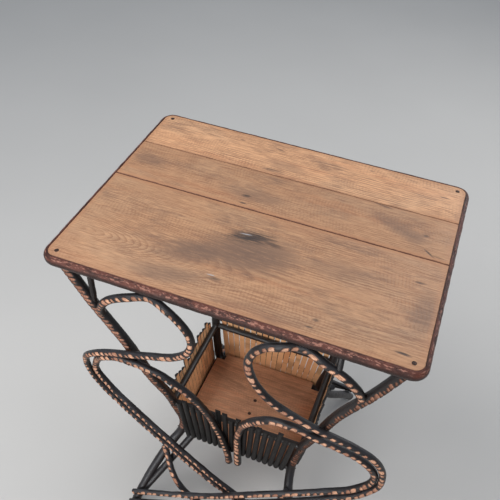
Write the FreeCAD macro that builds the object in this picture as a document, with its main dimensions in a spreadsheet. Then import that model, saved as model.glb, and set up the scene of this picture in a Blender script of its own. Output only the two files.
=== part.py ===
"""Twig table: a boarded top on four bent legs, with a picket basket at the waist and bent scrolls."""
import FreeCAD, Part
import math
import os
import Sketcher
from FreeCAD import Placement, Rotation, Vector

# Driving dimensions in millimetres: alias, value, meaning
SIZES = (
    ("table_length", 660, "length of the top over its edging, along X"),
    ("table_depth", 500, "depth of the top over its edging, along Y"),
    ("table_height", 765, "floor to the top surface"),
    ("board_thickness", 18, "thickness of the top boards"),
    ("front_board_width", 250, "width of the front top board"),
    ("middle_board_width", 118, "width of the middle top board"),
    ("board_gap", 1.2, "open joint between two top boards"),
    ("corner_radius", 26, "corner radius of the top over its edging"),
    ("edging_thickness", 8, "how far the split edging stands out from the boards"),
    ("edging_height", 22, "height of the split edging"),
    ("leg_diameter", 20, "diameter of a leg"),
    ("leg_top_end_inset", 27, "leg centre from the end of the top, at the boards"),
    ("leg_top_side_inset", 24, "leg centre from the long edge of the top, at the boards"),
    ("leg_lean", 9, "most that a leg leans sideways between its fixed points"),
    ("foot_length", 394, "distance between foot centres along X"),
    ("foot_depth", 510, "distance between foot centres along Y"),
    ("under_rail_diameter", 14, "diameter of the twig rails under the top"),
    ("stub_diameter", 11, "diameter of the stub posts"),
    ("rail_diameter", 14, "diameter of the basket rails"),
    ("rim_height", 280, "height of the basket rim rails"),
    ("rim_length", 298, "distance between leg centres at the rim, along X"),
    ("rim_depth", 244, "distance between leg centres at the rim, along Y"),
    ("base_height", 173, "height of the basket bottom rails"),
    ("base_length", 266, "distance between leg centres at the basket bottom, along X"),
    ("base_depth", 228, "distance between leg centres at the basket bottom, along Y"),
    ("basket_floor_length", 268, "length of the basket's floor board"),
    ("basket_floor_depth", 236, "depth of the basket's floor board"),
    ("basket_floor_thickness", 8, "thickness of the basket's floor board"),
    ("basket_floor_notch", 20, "square notch in each corner of that board, round a leg"),
    ("picket_width", 13, "width of a split picket"),
    ("picket_drop", 3, "how far a picket reaches below the bottom rail's axis"),
    ("picket_rise", 18, "least reach of a picket above the rim rail's axis"),
    ("picket_unevenness", 24, "largest extra reach of a picket tip"),
    ("picket_spacing", 0.3, "least gap between pickets at their feet"),
    ("picket_corner_gap", 3, "gap between the last picket of a side and the leg"),
    ("strut_diameter", 16, "diameter of a foot strut"),
    ("strut_offset", 30, "strut from the leg, at the basket bottom rail"),
    ("strut_foot_height", 26, "height where the strut meets the leg"),
    ("strut_rise", 4, "strut end above the place where it bears on the rail"),
    ("scroll_diameter", 14, "diameter of the bent scroll twigs"),
    ("scroll_overhang", 11, "twig end past the leg that it is nailed to"),
    ("crossing_depth", 210, "distance of the crossing scroll ends from the middle of the table"),
    ("nail_diameter", 2.6, "shank of a nail"),
    ("nail_head_diameter", 8, "head of a nail in the top or in the basket floor"),
    ("nail_head_height", 1.2, "height of such a head"),
    ("corner_nail_length", 28, "nail through the top into a leg"),
    ("corner_nail_offset", 2, "nail in the top from the leg's centre, outward"),
    ("joint_nail_length", 26, "nail through one twig into another"),
    ("joint_nail_stand", 1.2, "end of a nail that stands out of the twig"),
    ("joint_nail_shift", 4, "nail of a scroll beside the middle of its crossing with the leg"),
    ("board_nail_reach", 8, "reach of the nails from the rails into the boards"),
    ("board_nail_spread", 150, "distance between the two nails of a long under rail"),
    ("tack_diameter", 1.6, "tack of the edging"),
    ("tack_length", 18, "length of such a tack"),
    ("seat_gap", 0.2, "clearance between pieces that bear on each other"),
    ("bend_gap", 1, "further clearance where a bent twig passes another piece"),
)

# Legs, as shares of the way from the rim out to the top, and from the basket bottom down to the foot,
# and the share of the sideways lean at each of their points from the top down
LEG_SHOULDER_SHARES = ((0.72, 0.97, 0.82), (0.39, 0.87, 0.61), (0.15, 0.58, 0.33), (0.04, 0.21, 0.12))
LEG_FOOT_SHARES = ((0.2, 0.185, 0.22), (0.55, 0.54, 0.54), (0.86, 0.86, 0.83))
LEG_LEAN_SHARES = (0, -0.6, -1, -1, -0.6, 0, 0, 0.8, 1, 0.5, 0.3)

# Where a scroll point lies: in front of a leg, butted to a leg, on the sheet in front of both legs, on the
# pickets, under the front rail, or in the back or front layer where the scroll ends cross
LEG, BUTT, SHEET, PICKETS, RAIL = "leg", "butt", "sheet", "pickets", "rail"
CROSS_BACK, CROSS_FRONT = "cross back", "cross front"

# Scroll routes: share of half the length, place or share of half the depth, share of the height
UPPER_LEFT_SHARES = (
    (-1, BUTT, 0.822), (-0.613, SHEET, 0.916), (-0.505, SHEET, 0.943), (-0.395, RAIL, 1),
    (-0.293, SHEET, 0.942), (-0.224, SHEET, 0.915), (-0.173, SHEET, 0.882), (-0.16, SHEET, 0.848),
    (-0.188, SHEET, 0.81), (-0.264, SHEET, 0.775), (-0.422, SHEET, 0.74), (-1, LEG, 0.712),
    (-0.739, SHEET, 0.675), (-0.835, SHEET, 0.643), (-0.928, 0.784, 0.572), (-0.925, 0.758, 0.519),
    (-0.848, 0.744, 0.454), (-0.689, 0.76, 0.394), (-0.454, 0.788, 0.323), (-0.109, CROSS_BACK, 0.214),
    (0.2, CROSS_BACK, 0.118), (1, LEG, 0.031),
)
LEFT_HEART_SHARES = (
    (-0.022, PICKETS, 0.185), (-0.047, PICKETS, 0.261), (-0.087, PICKETS, 0.325), (-0.132, 0.6, 0.392),
    (-0.158, SHEET, 0.508), (-0.21, SHEET, 0.583), (-0.286, SHEET, 0.623), (-0.363, SHEET, 0.652),
    (-1, LEG, 0.678), (-0.655, SHEET, 0.672), (-0.744, SHEET, 0.65), (-0.848, 0.786, 0.584),
    (-0.878, 0.754, 0.526), (-0.812, 0.744, 0.472), (-0.656, 0.76, 0.412), (-0.423, 0.788, 0.342),
    (-0.08, CROSS_BACK, 0.233), (0.226, CROSS_BACK, 0.136), (1, LEG, 0.058),
)
RIGHT_HEART_SHARES = (
    (0.043, PICKETS, 0.195), (0.037, PICKETS, 0.286), (0.036, PICKETS, 0.35), (0.054, 0.6, 0.4),
    (0.126, SHEET, 0.513), (0.202, SHEET, 0.574), (0.284, SHEET, 0.61), (0.365, SHEET, 0.62),
    (0.449, SHEET, 0.62), (1, LEG, 0.606), (0.704, SHEET, 0.585), (0.8, SHEET, 0.565),
    (0.88, 0.784, 0.536), (0.922, 0.752, 0.493), (0.915, 0.734, 0.441), (0.842, 0.746, 0.398),
    (0.648, 0.772, 0.337), (0.235, CROSS_FRONT, 0.252), (-0.092, CROSS_FRONT, 0.143), (-1, LEG, 0.053),
)
UPPER_RIGHT_SHARES = (
    (1, BUTT, 0.813), (0.656, SHEET, 0.907), (0.541, SHEET, 0.934), (0.41, RAIL, 1),
    (0.31, SHEET, 0.942), (0.251, SHEET, 0.93), (0.191, SHEET, 0.904), (0.155, SHEET, 0.863),
    (0.166, SHEET, 0.814), (0.216, SHEET, 0.764), (0.294, SHEET, 0.72), (0.398, SHEET, 0.69),
    (1, LEG, 0.656), (0.776, SHEET, 0.626), (0.87, SHEET, 0.6), (0.937, 0.784, 0.55),
    (0.968, 0.752, 0.497), (0.962, 0.736, 0.437), (0.89, 0.752, 0.388), (0.686, 0.784, 0.318),
    (0.241, CROSS_FRONT, 0.208), (-0.09, CROSS_FRONT, 0.093), (-1, LEG, 0.03),
)
FOOT_BOW_SHARES = (
    (-1, LEG, 0.166), (-0.338, 0.77, 0.1), (-0.254, 0.79, 0.064), (-0.1, 0.8, 0.032),
    (0.1, 0.8, 0.032), (0.254, 0.79, 0.064), (0.338, 0.77, 0.1), (1, LEG, 0.166),
)
RAIL_TOUCH_ANGLE = 36.0
SEAM_TURN = 45.0
LONG_STUB_SHARE = 0.75
SHORT_STUB_SHARE = 0.606
FLOOR_NAIL_SHARES = (0.1, -0.23)
NAIL_STAGGER_SHARE = 0.2
TIP_WAVE_SHARES = (0.0, 0.7, 0.3, 1.0, 0.5, 0.1, 0.85, 0.4, 0.95, 0.2, 0.6)
LONG_TACK_COUNT = 6
SHORT_TACK_COUNT = 4
LEG_SAMPLE_COUNT = 600
STRUT_TRIAL_COUNT = 6

doc = FreeCAD.newDocument("TwigTable")
sheet = doc.addObject("Spreadsheet::Sheet", "Sizes")
for row, (alias, value, meaning) in enumerate(SIZES, start=1):
    sheet.set(f"A{row}", meaning)
    sheet.set(f"B{row}", str(value))
    sheet.setAlias(f"B{row}", alias)
doc.recompute()


def size(alias):
    """Return one driving dimension from the sheet."""
    return float(sheet.get(alias))


half_length = size("table_length") / 2
half_depth = size("table_depth") / 2
table_height = size("table_height")
seat_gap = size("seat_gap")
bend_gap = size("bend_gap")
underside = table_height - size("board_thickness")
leg_radius = size("leg_diameter") / 2
rail_radius = size("rail_diameter") / 2
scroll_radius = size("scroll_diameter") / 2
picket_radius = size("picket_width") / 2
X_AXIS = Vector(1, 0, 0)
Y_AXIS = Vector(0, 1, 0)
Z_AXIS = Vector(0, 0, 1)

pieces = []
nails_through = {}


def add(kind, name, **expressions):
    """Add an object to the document and bind its sizes to the sheet."""
    thing = doc.addObject(kind, name)
    for prop, expression in expressions.items():
        thing.setExpression(prop, expression)
    return thing


def group(name, members):
    """Hold several objects together as one object of separate solids."""
    compound = add("Part::Compound", name)
    compound.Links = members
    return compound


def half_turned(name, source):
    """Copy of an object turned half round the middle of the table."""
    copy = group(name, [source])
    copy.Placement = Placement(Vector(), Rotation(Z_AXIS, 180))
    return copy


def cut(name, base, tools):
    """Cut a base by one or more tools."""
    result = add("Part::Cut", name)
    result.Base = base
    result.Tool = tools[0] if len(tools) == 1 else group(name + "_tools", tools)
    return result


def keep(label, stem):
    """Make a stem one finished piece, with the holes of the nails that go through it."""
    nails = nails_through.get(label, [])
    finished = cut(label + "_holed", stem, nails) if nails else stem
    finished.Label = label
    pieces.append(finished)


def aimed(place, direction):
    """Placement whose Z axis points along a direction."""
    return Placement(place, Rotation(Z_AXIS, direction))


def rod(name, start, end, diameter):
    """Straight round twig between two points, its seam turned away from nails; its diameter is a sheet cell."""
    bar = add("Part::Cylinder", name, Radius=f"Sizes.{diameter} / 2")
    bar.Height = (end - start).Length
    bar.Placement = Placement(start, Rotation(Z_AXIS, end - start) * Rotation(Z_AXIS, SEAM_TURN))
    return bar


def nail(name, start, direction, length, joined, diameter="nail_diameter"):
    """Headless nail through the pieces named in joined."""
    shank = add("Part::Cylinder", name, Radius=f"Sizes.{diameter} / 2", Height=length)
    shank.Placement = aimed(start, direction)
    for label in joined:
        nails_through.setdefault(label, []).append(shank)
    return shank


def headed_nail(name, top, length, joined):
    """Nail driven straight down, with its flat head flush with the wood."""
    shank = add("Part::Cylinder", name + "_shank", Radius="Sizes.nail_diameter / 2", Height=length)
    shank.Placement = aimed(top, -Z_AXIS)
    head = add("Part::Cylinder", name + "_head", Radius="Sizes.nail_head_diameter / 2",
               Height="Sizes.nail_head_height")
    head.Placement = aimed(top, -Z_AXIS)
    whole = add("Part::Fuse", name)
    whole.Base = shank
    whole.Tool = head
    for label in joined:
        nails_through.setdefault(label, []).append(whole)
    return whole


def arc_between(start, corner, end):
    """Arc from start to end whose end tangents meet at corner, or a line if they are in line."""
    middle = (start + end) * 0.5
    rise = (corner - middle).Length
    half_chord = (end - start).Length / 2
    if rise < 1e-4 * half_chord:
        return Part.LineSegment(start, end).toShape()
    sagitta = half_chord * (math.hypot(rise, half_chord) - half_chord) / rise
    return Part.Arc(start, middle + (corner - middle) * (sagitta / rise), end).toShape()


def smooth_wire(points):
    """Wire of tangent arcs through all the points."""
    chords = [after - before for before, after in zip(points, points[1:])]
    tangents = [(before * (after.Length / before.Length) + after * (before.Length / after.Length)).normalize()
                for before, after in zip(chords, chords[1:])]

    def mirrored(tangent, chord):
        along = Vector(chord).normalize()
        return along * (2 * along.dot(tangent)) - tangent

    tangents = [mirrored(tangents[0], chords[0])] + tangents + [mirrored(tangents[-1], chords[-1])]
    edges = []
    for start, end, leaving, arriving in zip(points, points[1:], tangents, tangents[1:]):
        chord = end - start
        along = chord.dot(leaving + arriving)
        bend = 2 * (1 - leaving.dot(arriving))
        if bend < 1e-9:
            reach = chord.dot(chord) / (2 * along)
        else:
            reach = (math.sqrt(along * along + bend * chord.dot(chord)) - along) / bend
        first_corner = start + leaving * reach
        last_corner = end - arriving * reach
        joint = (first_corner + last_corner) * 0.5
        edges.append(arc_between(start, first_corner, joint))
        edges.append(arc_between(joint, last_corner, end))
    return Part.Wire(edges)


def bent_twig(name, wire, diameter, seam_side):
    """Round twig along a wire, its seam on a side that no nail meets; its diameter is a cell of the sheet."""
    route = add("Part::Feature", name + "_route")
    route.Shape = wire
    section = add("Part::Circle", name + "_section", Radius=f"Sizes.{diameter} / 2")
    first = wire.OrderedEdges[0]
    along = first.tangentAt(first.FirstParameter)
    section.Placement = Placement(first.valueAt(first.FirstParameter),
                                  Rotation(seam_side, along.cross(seam_side), along, "ZXY"))
    stem = add("Part::Sweep", name + "_stem")
    stem.Sections = [section]
    stem.Spine = (route, [f"Edge{count + 1}" for count in range(len(wire.Edges))])
    stem.Solid = True
    return stem


def lengthened(points, overhang):
    """Carry a route on past both its ends."""
    before = points[0] + (points[0] - points[1]).normalize() * overhang
    after = points[-1] + (points[-1] - points[-2]).normalize() * overhang
    return [before] + points + [after]


# Legs: the quarter with positive X and Y, from the boards down to the floor
def part_way(start, end, shares):
    """Point at a share of the way from start to end, for each axis."""
    return Vector(*(low + share * (high - low) for low, high, share in zip(start, end, shares)))


leg_top = Vector(half_length - size("leg_top_end_inset"), half_depth - size("leg_top_side_inset"), underside)
rim_corner = Vector(size("rim_length") / 2, size("rim_depth") / 2, size("rim_height"))
base_corner = Vector(size("base_length") / 2, size("base_depth") / 2, size("base_height"))
foot = Vector(size("foot_length") / 2, size("foot_depth") / 2, 0)
leg_points = [leg_top]
leg_points += [part_way(rim_corner, leg_top, shares) for shares in LEG_SHOULDER_SHARES]
leg_points += [rim_corner, base_corner]
leg_points += [part_way(base_corner, foot, shares) for shares in LEG_FOOT_SHARES]
leg_points += [foot]


def leaning(lean):
    """Route of a leg that leans one way or the other, plus or minus one, as seen in the first quarter."""
    points = [point + X_AXIS * (lean * share * size("leg_lean"))
              for point, share in zip(leg_points, LEG_LEAN_SHARES)]
    return smooth_wire(lengthened(points, size("leg_diameter")))


leg_routes = {lean: leaning(lean) for lean in (1, -1)}
leg_samples = {lean: route.discretize(LEG_SAMPLE_COUNT) for lean, route in leg_routes.items()}


def turned(point, x_sign, y_sign):
    """Point of the first quarter carried to another quarter."""
    return Vector(point.x * x_sign, point.y * y_sign, point.z)


def leg_at(height, lean=1, axis=2):
    """Leg centre and direction where one of its coordinates, by default Z, has the given value."""
    for above, below in zip(leg_samples[lean], leg_samples[lean][1:]):
        if above[axis] >= height > below[axis]:
            share = (above[axis] - height) / (above[axis] - below[axis])
            return above + (below - above) * share, (above - below).normalize()
    raise ValueError(f"the leg doesn't reach {height}")


def leg_centre(corner, height):
    """Centre of one corner's leg at a height."""
    x_sign, y_sign = CORNERS[corner]
    return turned(leg_at(height, x_sign * y_sign)[0], x_sign, y_sign)


CORNERS = {"front_left": (-1, -1), "front_right": (1, -1), "back_left": (-1, 1), "back_right": (1, 1)}

clear_height = add("Part::Box", "clear_height", Length="2 * Sizes.table_length",
                   Width="2 * Sizes.table_depth", Height="Sizes.table_height - Sizes.board_thickness")
clear_height.Placement.Base = Vector(-2 * half_length, -2 * half_depth, 0)

leg_stems = {}
for corner, x_sign in (("front_left", -1), ("front_right", 1)):
    route = leg_routes[-x_sign].mirror(Vector(), Y_AXIS)
    if x_sign < 0:
        route = route.mirror(Vector(), X_AXIS)
    trimmed = add("Part::Common", f"leg_{corner}_trimmed")
    trimmed.Base = bent_twig(f"leg_{corner}", route, "leg_diameter", Vector(x_sign, -1, 0))
    trimmed.Tool = clear_height
    leg_stems[corner] = trimmed
leg_stems["back_right"] = half_turned("leg_back_right_stem", leg_stems["front_left"])
leg_stems["back_left"] = half_turned("leg_back_left_stem", leg_stems["front_right"])

# Rails between the legs: under the boards, at the basket rim and at the basket bottom
SIDES = {
    "front": ("front_left", "front_right", X_AXIS), "back": ("back_left", "back_right", X_AXIS),
    "left": ("front_left", "back_left", Y_AXIS), "right": ("front_right", "back_right", Y_AXIS),
}
under_rail_height = underside - size("under_rail_diameter") / 2 - seat_gap
RAILS = (
    ("under_rail", under_rail_height, "under_rail_diameter"),
    ("rim_rail", size("rim_height"), "rail_diameter"),
    ("bottom_rail", size("base_height"), "rail_diameter"),
)
rail_stems = {}
rail_nails = []
for kind, height, diameter in RAILS:
    for side, (first, last, axis) in SIDES.items():
        label = f"{kind}_{side}"
        ends = [leg_centre(corner, height) for corner in (first, last)]
        blank = rod(label + "_blank", ends[0], ends[1], diameter)
        rail_stems[label] = cut(label + "_coped", blank, [leg_stems[first], leg_stems[last]])
        if kind == "under_rail":
            continue
        stagger = Z_AXIS * (NAIL_STAGGER_SHARE * size(diameter) * (1 if axis == X_AXIS else -1))
        for corner, end, inward in ((first, ends[0], axis), (last, ends[1], -axis)):
            start = end + stagger - inward * (leg_radius + size("joint_nail_stand"))
            rail_nails.append(nail(f"{label}_{corner}_nail", start, inward, "Sizes.joint_nail_length",
                                   (label, f"leg_{corner}")))

# Top boards, with the joints along X
BOARDS = (
    ("top_board_front", "Sizes.front_board_width",
     "-Sizes.table_depth / 2 + Sizes.edging_thickness + Sizes.front_board_width / 2", -1),
    ("top_board_middle", "Sizes.middle_board_width",
     "-Sizes.table_depth / 2 + Sizes.edging_thickness + Sizes.front_board_width + Sizes.board_gap"
     " + Sizes.middle_board_width / 2", 0),
    ("top_board_back",
     "Sizes.table_depth - 2 * (Sizes.edging_thickness + Sizes.board_gap) - Sizes.front_board_width"
     " - Sizes.middle_board_width",
     "(Sizes.front_board_width + Sizes.middle_board_width) / 2 + Sizes.board_gap", 1),
)


def board(label, width, middle, rounded_side):
    """Plank with its two outer corners rounded on one long side, or on none."""
    body = doc.addObject("PartDesign::Body", label + "_body")
    plane = next(feature for feature in body.Origin.OriginFeatures if feature.Role == "XY_Plane")
    outline = body.newObject("Sketcher::SketchObject", label + "_outline")
    outline.AttachmentSupport = (plane, [""])
    outline.MapMode = "FlatFace"
    outline.setExpression("AttachmentOffset.Base.y", middle)
    outline.setExpression("AttachmentOffset.Base.z", "Sizes.table_height - Sizes.board_thickness")
    corners = [Vector(-1, -1, 0), Vector(1, -1, 0), Vector(1, 1, 0), Vector(-1, 1, 0)]
    for count in range(4):
        outline.addGeometry(Part.LineSegment(corners[count], corners[(count + 1) % 4]))
        outline.addConstraint(Sketcher.Constraint("Horizontal" if count % 2 == 0 else "Vertical", count))
    for count in range(4):
        outline.addConstraint(Sketcher.Constraint("Coincident", count, 2, (count + 1) % 4, 1))
    outline.addConstraint(Sketcher.Constraint("Symmetric", 0, 1, 2, 1, -1, 1))
    across = outline.addConstraint(Sketcher.Constraint("DistanceX", 0, 1, 0, 2, half_length))
    along = outline.addConstraint(Sketcher.Constraint("DistanceY", 1, 1, 1, 2, half_depth))
    outline.setExpression(f"Constraints[{across}]", "Sizes.table_length - 2 * Sizes.edging_thickness")
    outline.setExpression(f"Constraints[{along}]", width)
    plank = body.newObject("PartDesign::Pad", label + "_plank")
    plank.Profile = outline
    plank.setExpression("Length", "Sizes.board_thickness")
    doc.recompute()
    if rounded_side:
        centre_y = plank.Shape.BoundBox.Center.y
        corner_edges = [f"Edge{count}" for count, edge in enumerate(plank.Shape.Edges, start=1)
                        if abs(edge.tangentAt(edge.FirstParameter).z) > 0.9
                        and (edge.CenterOfMass.y - centre_y) * rounded_side > 0]
        rounding = body.newObject("PartDesign::Fillet", label + "_rounding")
        rounding.Base = (plank, corner_edges)
        rounding.setExpression("Radius", "Sizes.corner_radius - Sizes.edging_thickness")
        doc.recompute()
    return body


board_stems = {label: board(label, width, middle, side) for label, width, middle, side in BOARDS}
board_middles = {label: stem.Shape.BoundBox.Center.y for label, stem in board_stems.items()}

corner_nails = []
for corner, signs in CORNERS.items():
    outward = Vector(size("corner_nail_offset"), size("corner_nail_offset"), size("board_thickness"))
    top = turned(leg_top + outward, *signs)
    plank = "top_board_front" if signs[1] < 0 else "top_board_back"
    corner_nails.append(headed_nail(f"corner_nail_{corner}", top, "Sizes.corner_nail_length",
                                    (plank, f"leg_{corner}")))

rail_x, rail_y = leg_at(under_rail_height)[0][:2]
board_nail_places = []
for side, x_sign in (("left", -1), ("right", 1)):
    board_nail_places += [(side, plank, x_sign * rail_x, middle) for plank, middle in board_middles.items()]
for side, y_sign in (("front", -1), ("back", 1)):
    for x_sign in (-1, 1):
        board_nail_places.append((side, f"top_board_{side}", x_sign * size("board_nail_spread") / 2, y_sign * rail_y))
board_nails = []
for side, plank, x, y in board_nail_places:
    start = Vector(x, y, under_rail_height - size("under_rail_diameter") / 2 - size("joint_nail_stand"))
    board_nails.append(nail(f"board_nail_{len(board_nails)}", start, Z_AXIS,
                            "Sizes.joint_nail_stand + Sizes.under_rail_diameter + Sizes.seat_gap"
                            " + Sizes.board_nail_reach", (plank, f"under_rail_{side}")))

# Edging of split twig: the long strips wrap the corners, the short ones fill the ends
edge_x = half_length - size("edging_thickness")
edge_y = half_depth - size("edging_thickness")
bend_radius = size("corner_radius") - size("edging_thickness")
edging_middle = table_height - size("edging_height") / 2


def edging(label, wire):
    """Half-round strip whose flat face follows the boards' edge, in the XY plane."""
    route = add("Part::Feature", label + "_route")
    route.Shape = wire
    first = wire.OrderedEdges[0]
    start = first.valueAt(first.FirstParameter)
    outward = first.tangentAt(first.FirstParameter).cross(Z_AXIS)
    half_height = Z_AXIS * (size("edging_height") / 2)
    bulge = Part.Arc(start + half_height, start + outward * size("edging_thickness"), start - half_height)
    flat = Part.LineSegment(start - half_height, start + half_height)
    section = add("Part::Feature", label + "_section")
    section.Shape = Part.Wire([bulge.toShape(), flat.toShape()])
    strip = add("Part::Sweep", label + "_strip")
    strip.Sections = [section]
    strip.Spine = (route, [f"Edge{count + 1}" for count in range(len(wire.Edges))])
    strip.Solid = True
    return strip


def long_edge(y_sign):
    """Path of a long strip, from one end of the top round both corners to the other end."""
    half_turn = bend_radius * (1 - math.sqrt(0.5))
    points = [Vector(-edge_x, -edge_y + bend_radius, 0), Vector(-edge_x + half_turn, -edge_y + half_turn, 0),
              Vector(-edge_x + bend_radius, -edge_y, 0)]
    points += [Vector(-point.x, point.y, 0) for point in reversed(points)]
    points = [Vector(-point.x * y_sign, -point.y * y_sign, edging_middle) for point in points]
    return Part.Wire([Part.Arc(*points[:3]).toShape(), Part.LineSegment(points[2], points[3]).toShape(),
                      Part.Arc(*points[3:]).toShape()])


def short_edge(x_sign):
    """Path of a short strip along one end of the top."""
    reach = edge_y - bend_radius - seat_gap
    return Part.Wire(Part.LineSegment(Vector(x_sign * edge_x, -x_sign * reach, edging_middle),
                                      Vector(x_sign * edge_x, x_sign * reach, edging_middle)).toShape())


edging_stems = {
    "edging_front": edging("edging_front", long_edge(-1)), "edging_back": edging("edging_back", long_edge(1)),
    "edging_left": edging("edging_left", short_edge(-1)), "edging_right": edging("edging_right", short_edge(1)),
}


def board_at(depth):
    """Label of the top board that lies at a depth."""
    return min(board_stems, key=lambda label: max(board_stems[label].Shape.BoundBox.YMin - depth,
                                                  depth - board_stems[label].Shape.BoundBox.YMax))


tacks = []
tack_height = table_height - size("board_thickness") / 2
for side, sign in (("front", -1), ("back", 1)):
    for count in range(LONG_TACK_COUNT):
        place = ((count + 0.5) / LONG_TACK_COUNT - 0.5) * 2 * (edge_x - bend_radius)
        tacks.append(nail(f"tack_{side}_{count}", Vector(place, sign * half_depth, tack_height), -Y_AXIS * sign,
                          "Sizes.tack_length", (f"edging_{side}", f"top_board_{side}"), "tack_diameter"))
for side, sign in (("left", -1), ("right", 1)):
    for count in range(SHORT_TACK_COUNT):
        place = ((count + 0.5) / SHORT_TACK_COUNT - 0.5) * 2 * (edge_y - bend_radius)
        tacks.append(nail(f"tack_{side}_{count}", Vector(sign * half_length, place, tack_height), -X_AXIS * sign,
                          "Sizes.tack_length", (f"edging_{side}", board_at(place)), "tack_diameter"))

# Basket: floor board on the bottom rails, notched round the legs, a bearer under it, pickets outside the rails
floor_level = size("base_height") + rail_radius + seat_gap
floor_corner = Vector(size("basket_floor_length") / 2, size("basket_floor_depth") / 2, floor_level)
floor_blank = add("Part::Box", "basket_floor_blank", Length="Sizes.basket_floor_length",
                  Width="Sizes.basket_floor_depth", Height="Sizes.basket_floor_thickness")
floor_blank.Placement.Base = turned(floor_corner, -1, -1)
floor_notches = []
for corner, (x_sign, y_sign) in CORNERS.items():
    notch = add("Part::Box", f"floor_notch_{corner}", Length="2 * Sizes.basket_floor_notch",
                Width="2 * Sizes.basket_floor_notch", Height="Sizes.basket_floor_thickness")
    middle_to_side = Vector(size("basket_floor_notch"), size("basket_floor_notch"), 0)
    notch.Placement.Base = turned(floor_corner, x_sign, y_sign) - middle_to_side
    floor_notches.append(notch)
basket_floor = cut("basket_floor_board", floor_blank, floor_notches)
bearer_end = Vector(0, base_corner.y, base_corner.z)
bearer_blank = rod("floor_bearer_blank", -Y_AXIS * bearer_end.y + Z_AXIS * bearer_end.z, bearer_end, "rail_diameter")
bearer = cut("floor_bearer_coped", bearer_blank, [rail_stems["bottom_rail_front"], rail_stems["bottom_rail_back"]])
floor_nails = []
for count, share in enumerate(FLOOR_NAIL_SHARES):
    top = Vector(0, share * size("basket_floor_depth") / 2, floor_level + size("basket_floor_thickness"))
    floor_nails.append(headed_nail(f"floor_nail_{count}", top, "Sizes.basket_floor_thickness + Sizes.rail_diameter / 2",
                                   ("basket_floor", "floor_bearer")))


def pickets(side, axis):
    """One side's row of split pickets, fanned out from foot to tip and leaning with the rails."""
    outward_sign = 1 if side in ("back", "right") else -1
    outward = (Y_AXIS if axis == X_AXIS else X_AXIS) * outward_sign
    foot_point = Vector(base_corner)
    tip_point = Vector(rim_corner)
    run = 0 if axis == X_AXIS else 1
    margin = leg_radius + picket_radius + size("picket_corner_gap")
    half_foot = foot_point[run] - margin
    half_tip = tip_point[run] - margin
    count = int(2 * half_foot / (size("picket_width") + size("picket_spacing"))) + 1
    row = []
    for index in range(count):
        share = 2 * index / (count - 1) - 1
        low = axis * (share * half_foot) + outward * foot_point[1 - run] + Z_AXIS * foot_point.z
        high = axis * (share * half_tip) + outward * tip_point[1 - run] + Z_AXIS * tip_point.z
        along = (high - low).normalize()
        across = along.cross(outward).normalize()
        facing = across.cross(along)
        seat = facing * (rail_radius + seat_gap)
        beside_leg = index in (0, count - 1)
        tip_share = 0 if beside_leg else TIP_WAVE_SHARES[(index * 3 + count) % len(TIP_WAVE_SHARES)]
        split = add("Part::Cylinder", f"picket_{side}_{index}", Radius="Sizes.picket_width / 2")
        split.Angle = 180
        split.Height = (high - low).Length + size("picket_drop") + size("picket_rise")
        split.Height = split.Height.Value + tip_share * size("picket_unevenness")
        base = low - along * size("picket_drop") + seat
        split.Placement = Placement(base, Rotation(-across, facing, along, "ZYX"))
        row.append(split)
    return group(f"pickets_{side}_row", row)


picket_rows = {f"pickets_{side}": pickets(side, axis) for side, (first, last, axis) in SIDES.items()}

# Foot struts: from under a bottom rail beside the leg down into the leg, set round the basket in turn
def strut_start(across, along, end):
    """Start of a strut whose flank bears on the rail from inside and below; across is its outward axis."""
    on_rail = Vector(base_corner) - along * size("strut_offset")
    standoff = rail_radius + size("strut_diameter") / 2 + seat_gap
    start = on_rail
    for _ in range(STRUT_TRIAL_COUNT):
        slope = end - start
        inward = (across * slope.z - Z_AXIS * slope.dot(across)).normalize()
        start = on_rail + inward * standoff
    return start


strut_stems = {}
for corner, signs in CORNERS.items():
    end = leg_at(size("strut_foot_height"), signs[0] * signs[1])[0]
    if signs[0] == signs[1]:
        start = strut_start(Y_AXIS, X_AXIS, end)
    else:
        start = strut_start(X_AXIS, Y_AXIS, end)
    start += (start - end).normalize() * size("strut_rise")
    blank = rod(f"foot_strut_{corner}_blank", turned(start, *signs), turned(end, *signs), "strut_diameter")
    strut_stems[f"foot_strut_{corner}"] = cut(f"foot_strut_{corner}_coped", blank, [leg_stems[corner]])


# Bent scrolls: the front ones, and the same turned half round for the back
leg_standoff = leg_radius + scroll_radius + seat_gap


def sheet_depth(height):
    """Depth of a scroll that lies in front of the legs, seen from the end of the table."""
    centre, direction = leg_at(height)
    return centre.y + leg_standoff * math.hypot(direction.y, direction.z) / abs(direction.z)


def picket_depth(height):
    """Depth of a scroll that lies on the pickets of the long sides."""
    lean = Vector(0, rim_corner.y - base_corner.y, rim_corner.z - base_corner.z)
    share = (height - base_corner.z) / lean.z
    standoff = rail_radius + picket_radius + scroll_radius + 2 * seat_gap + bend_gap
    return base_corner.y + share * lean.y + standoff * lean.Length / lean.z


def scroll_point(x_share, place, z_share):
    """Point of a front scroll's route."""
    x = x_share * half_length
    height = z_share * table_height
    if place == LEG:
        return Vector(x_share * leg_at(height, -x_share)[0].x, -sheet_depth(height), height)
    if place == BUTT:
        return turned(leg_at(height, -x_share)[0], x_share, -1)
    if place == SHEET:
        return Vector(x, -max(sheet_depth(height), picket_depth(height)), height)
    if place == PICKETS:
        return Vector(x, -picket_depth(height), height)
    if place == RAIL:
        touch = size("under_rail_diameter") / 2 + scroll_radius + bend_gap
        angle = math.radians(RAIL_TOUCH_ANGLE)
        return Vector(x, -leg_at(under_rail_height)[0].y - touch * math.sin(angle),
                      under_rail_height - touch * math.cos(angle))
    if place == CROSS_BACK:
        return Vector(x, -size("crossing_depth") + scroll_radius + bend_gap, height)
    if place == CROSS_FRONT:
        return Vector(x, -size("crossing_depth") - scroll_radius - bend_gap, height)
    return Vector(x, -place * half_depth, height)


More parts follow.
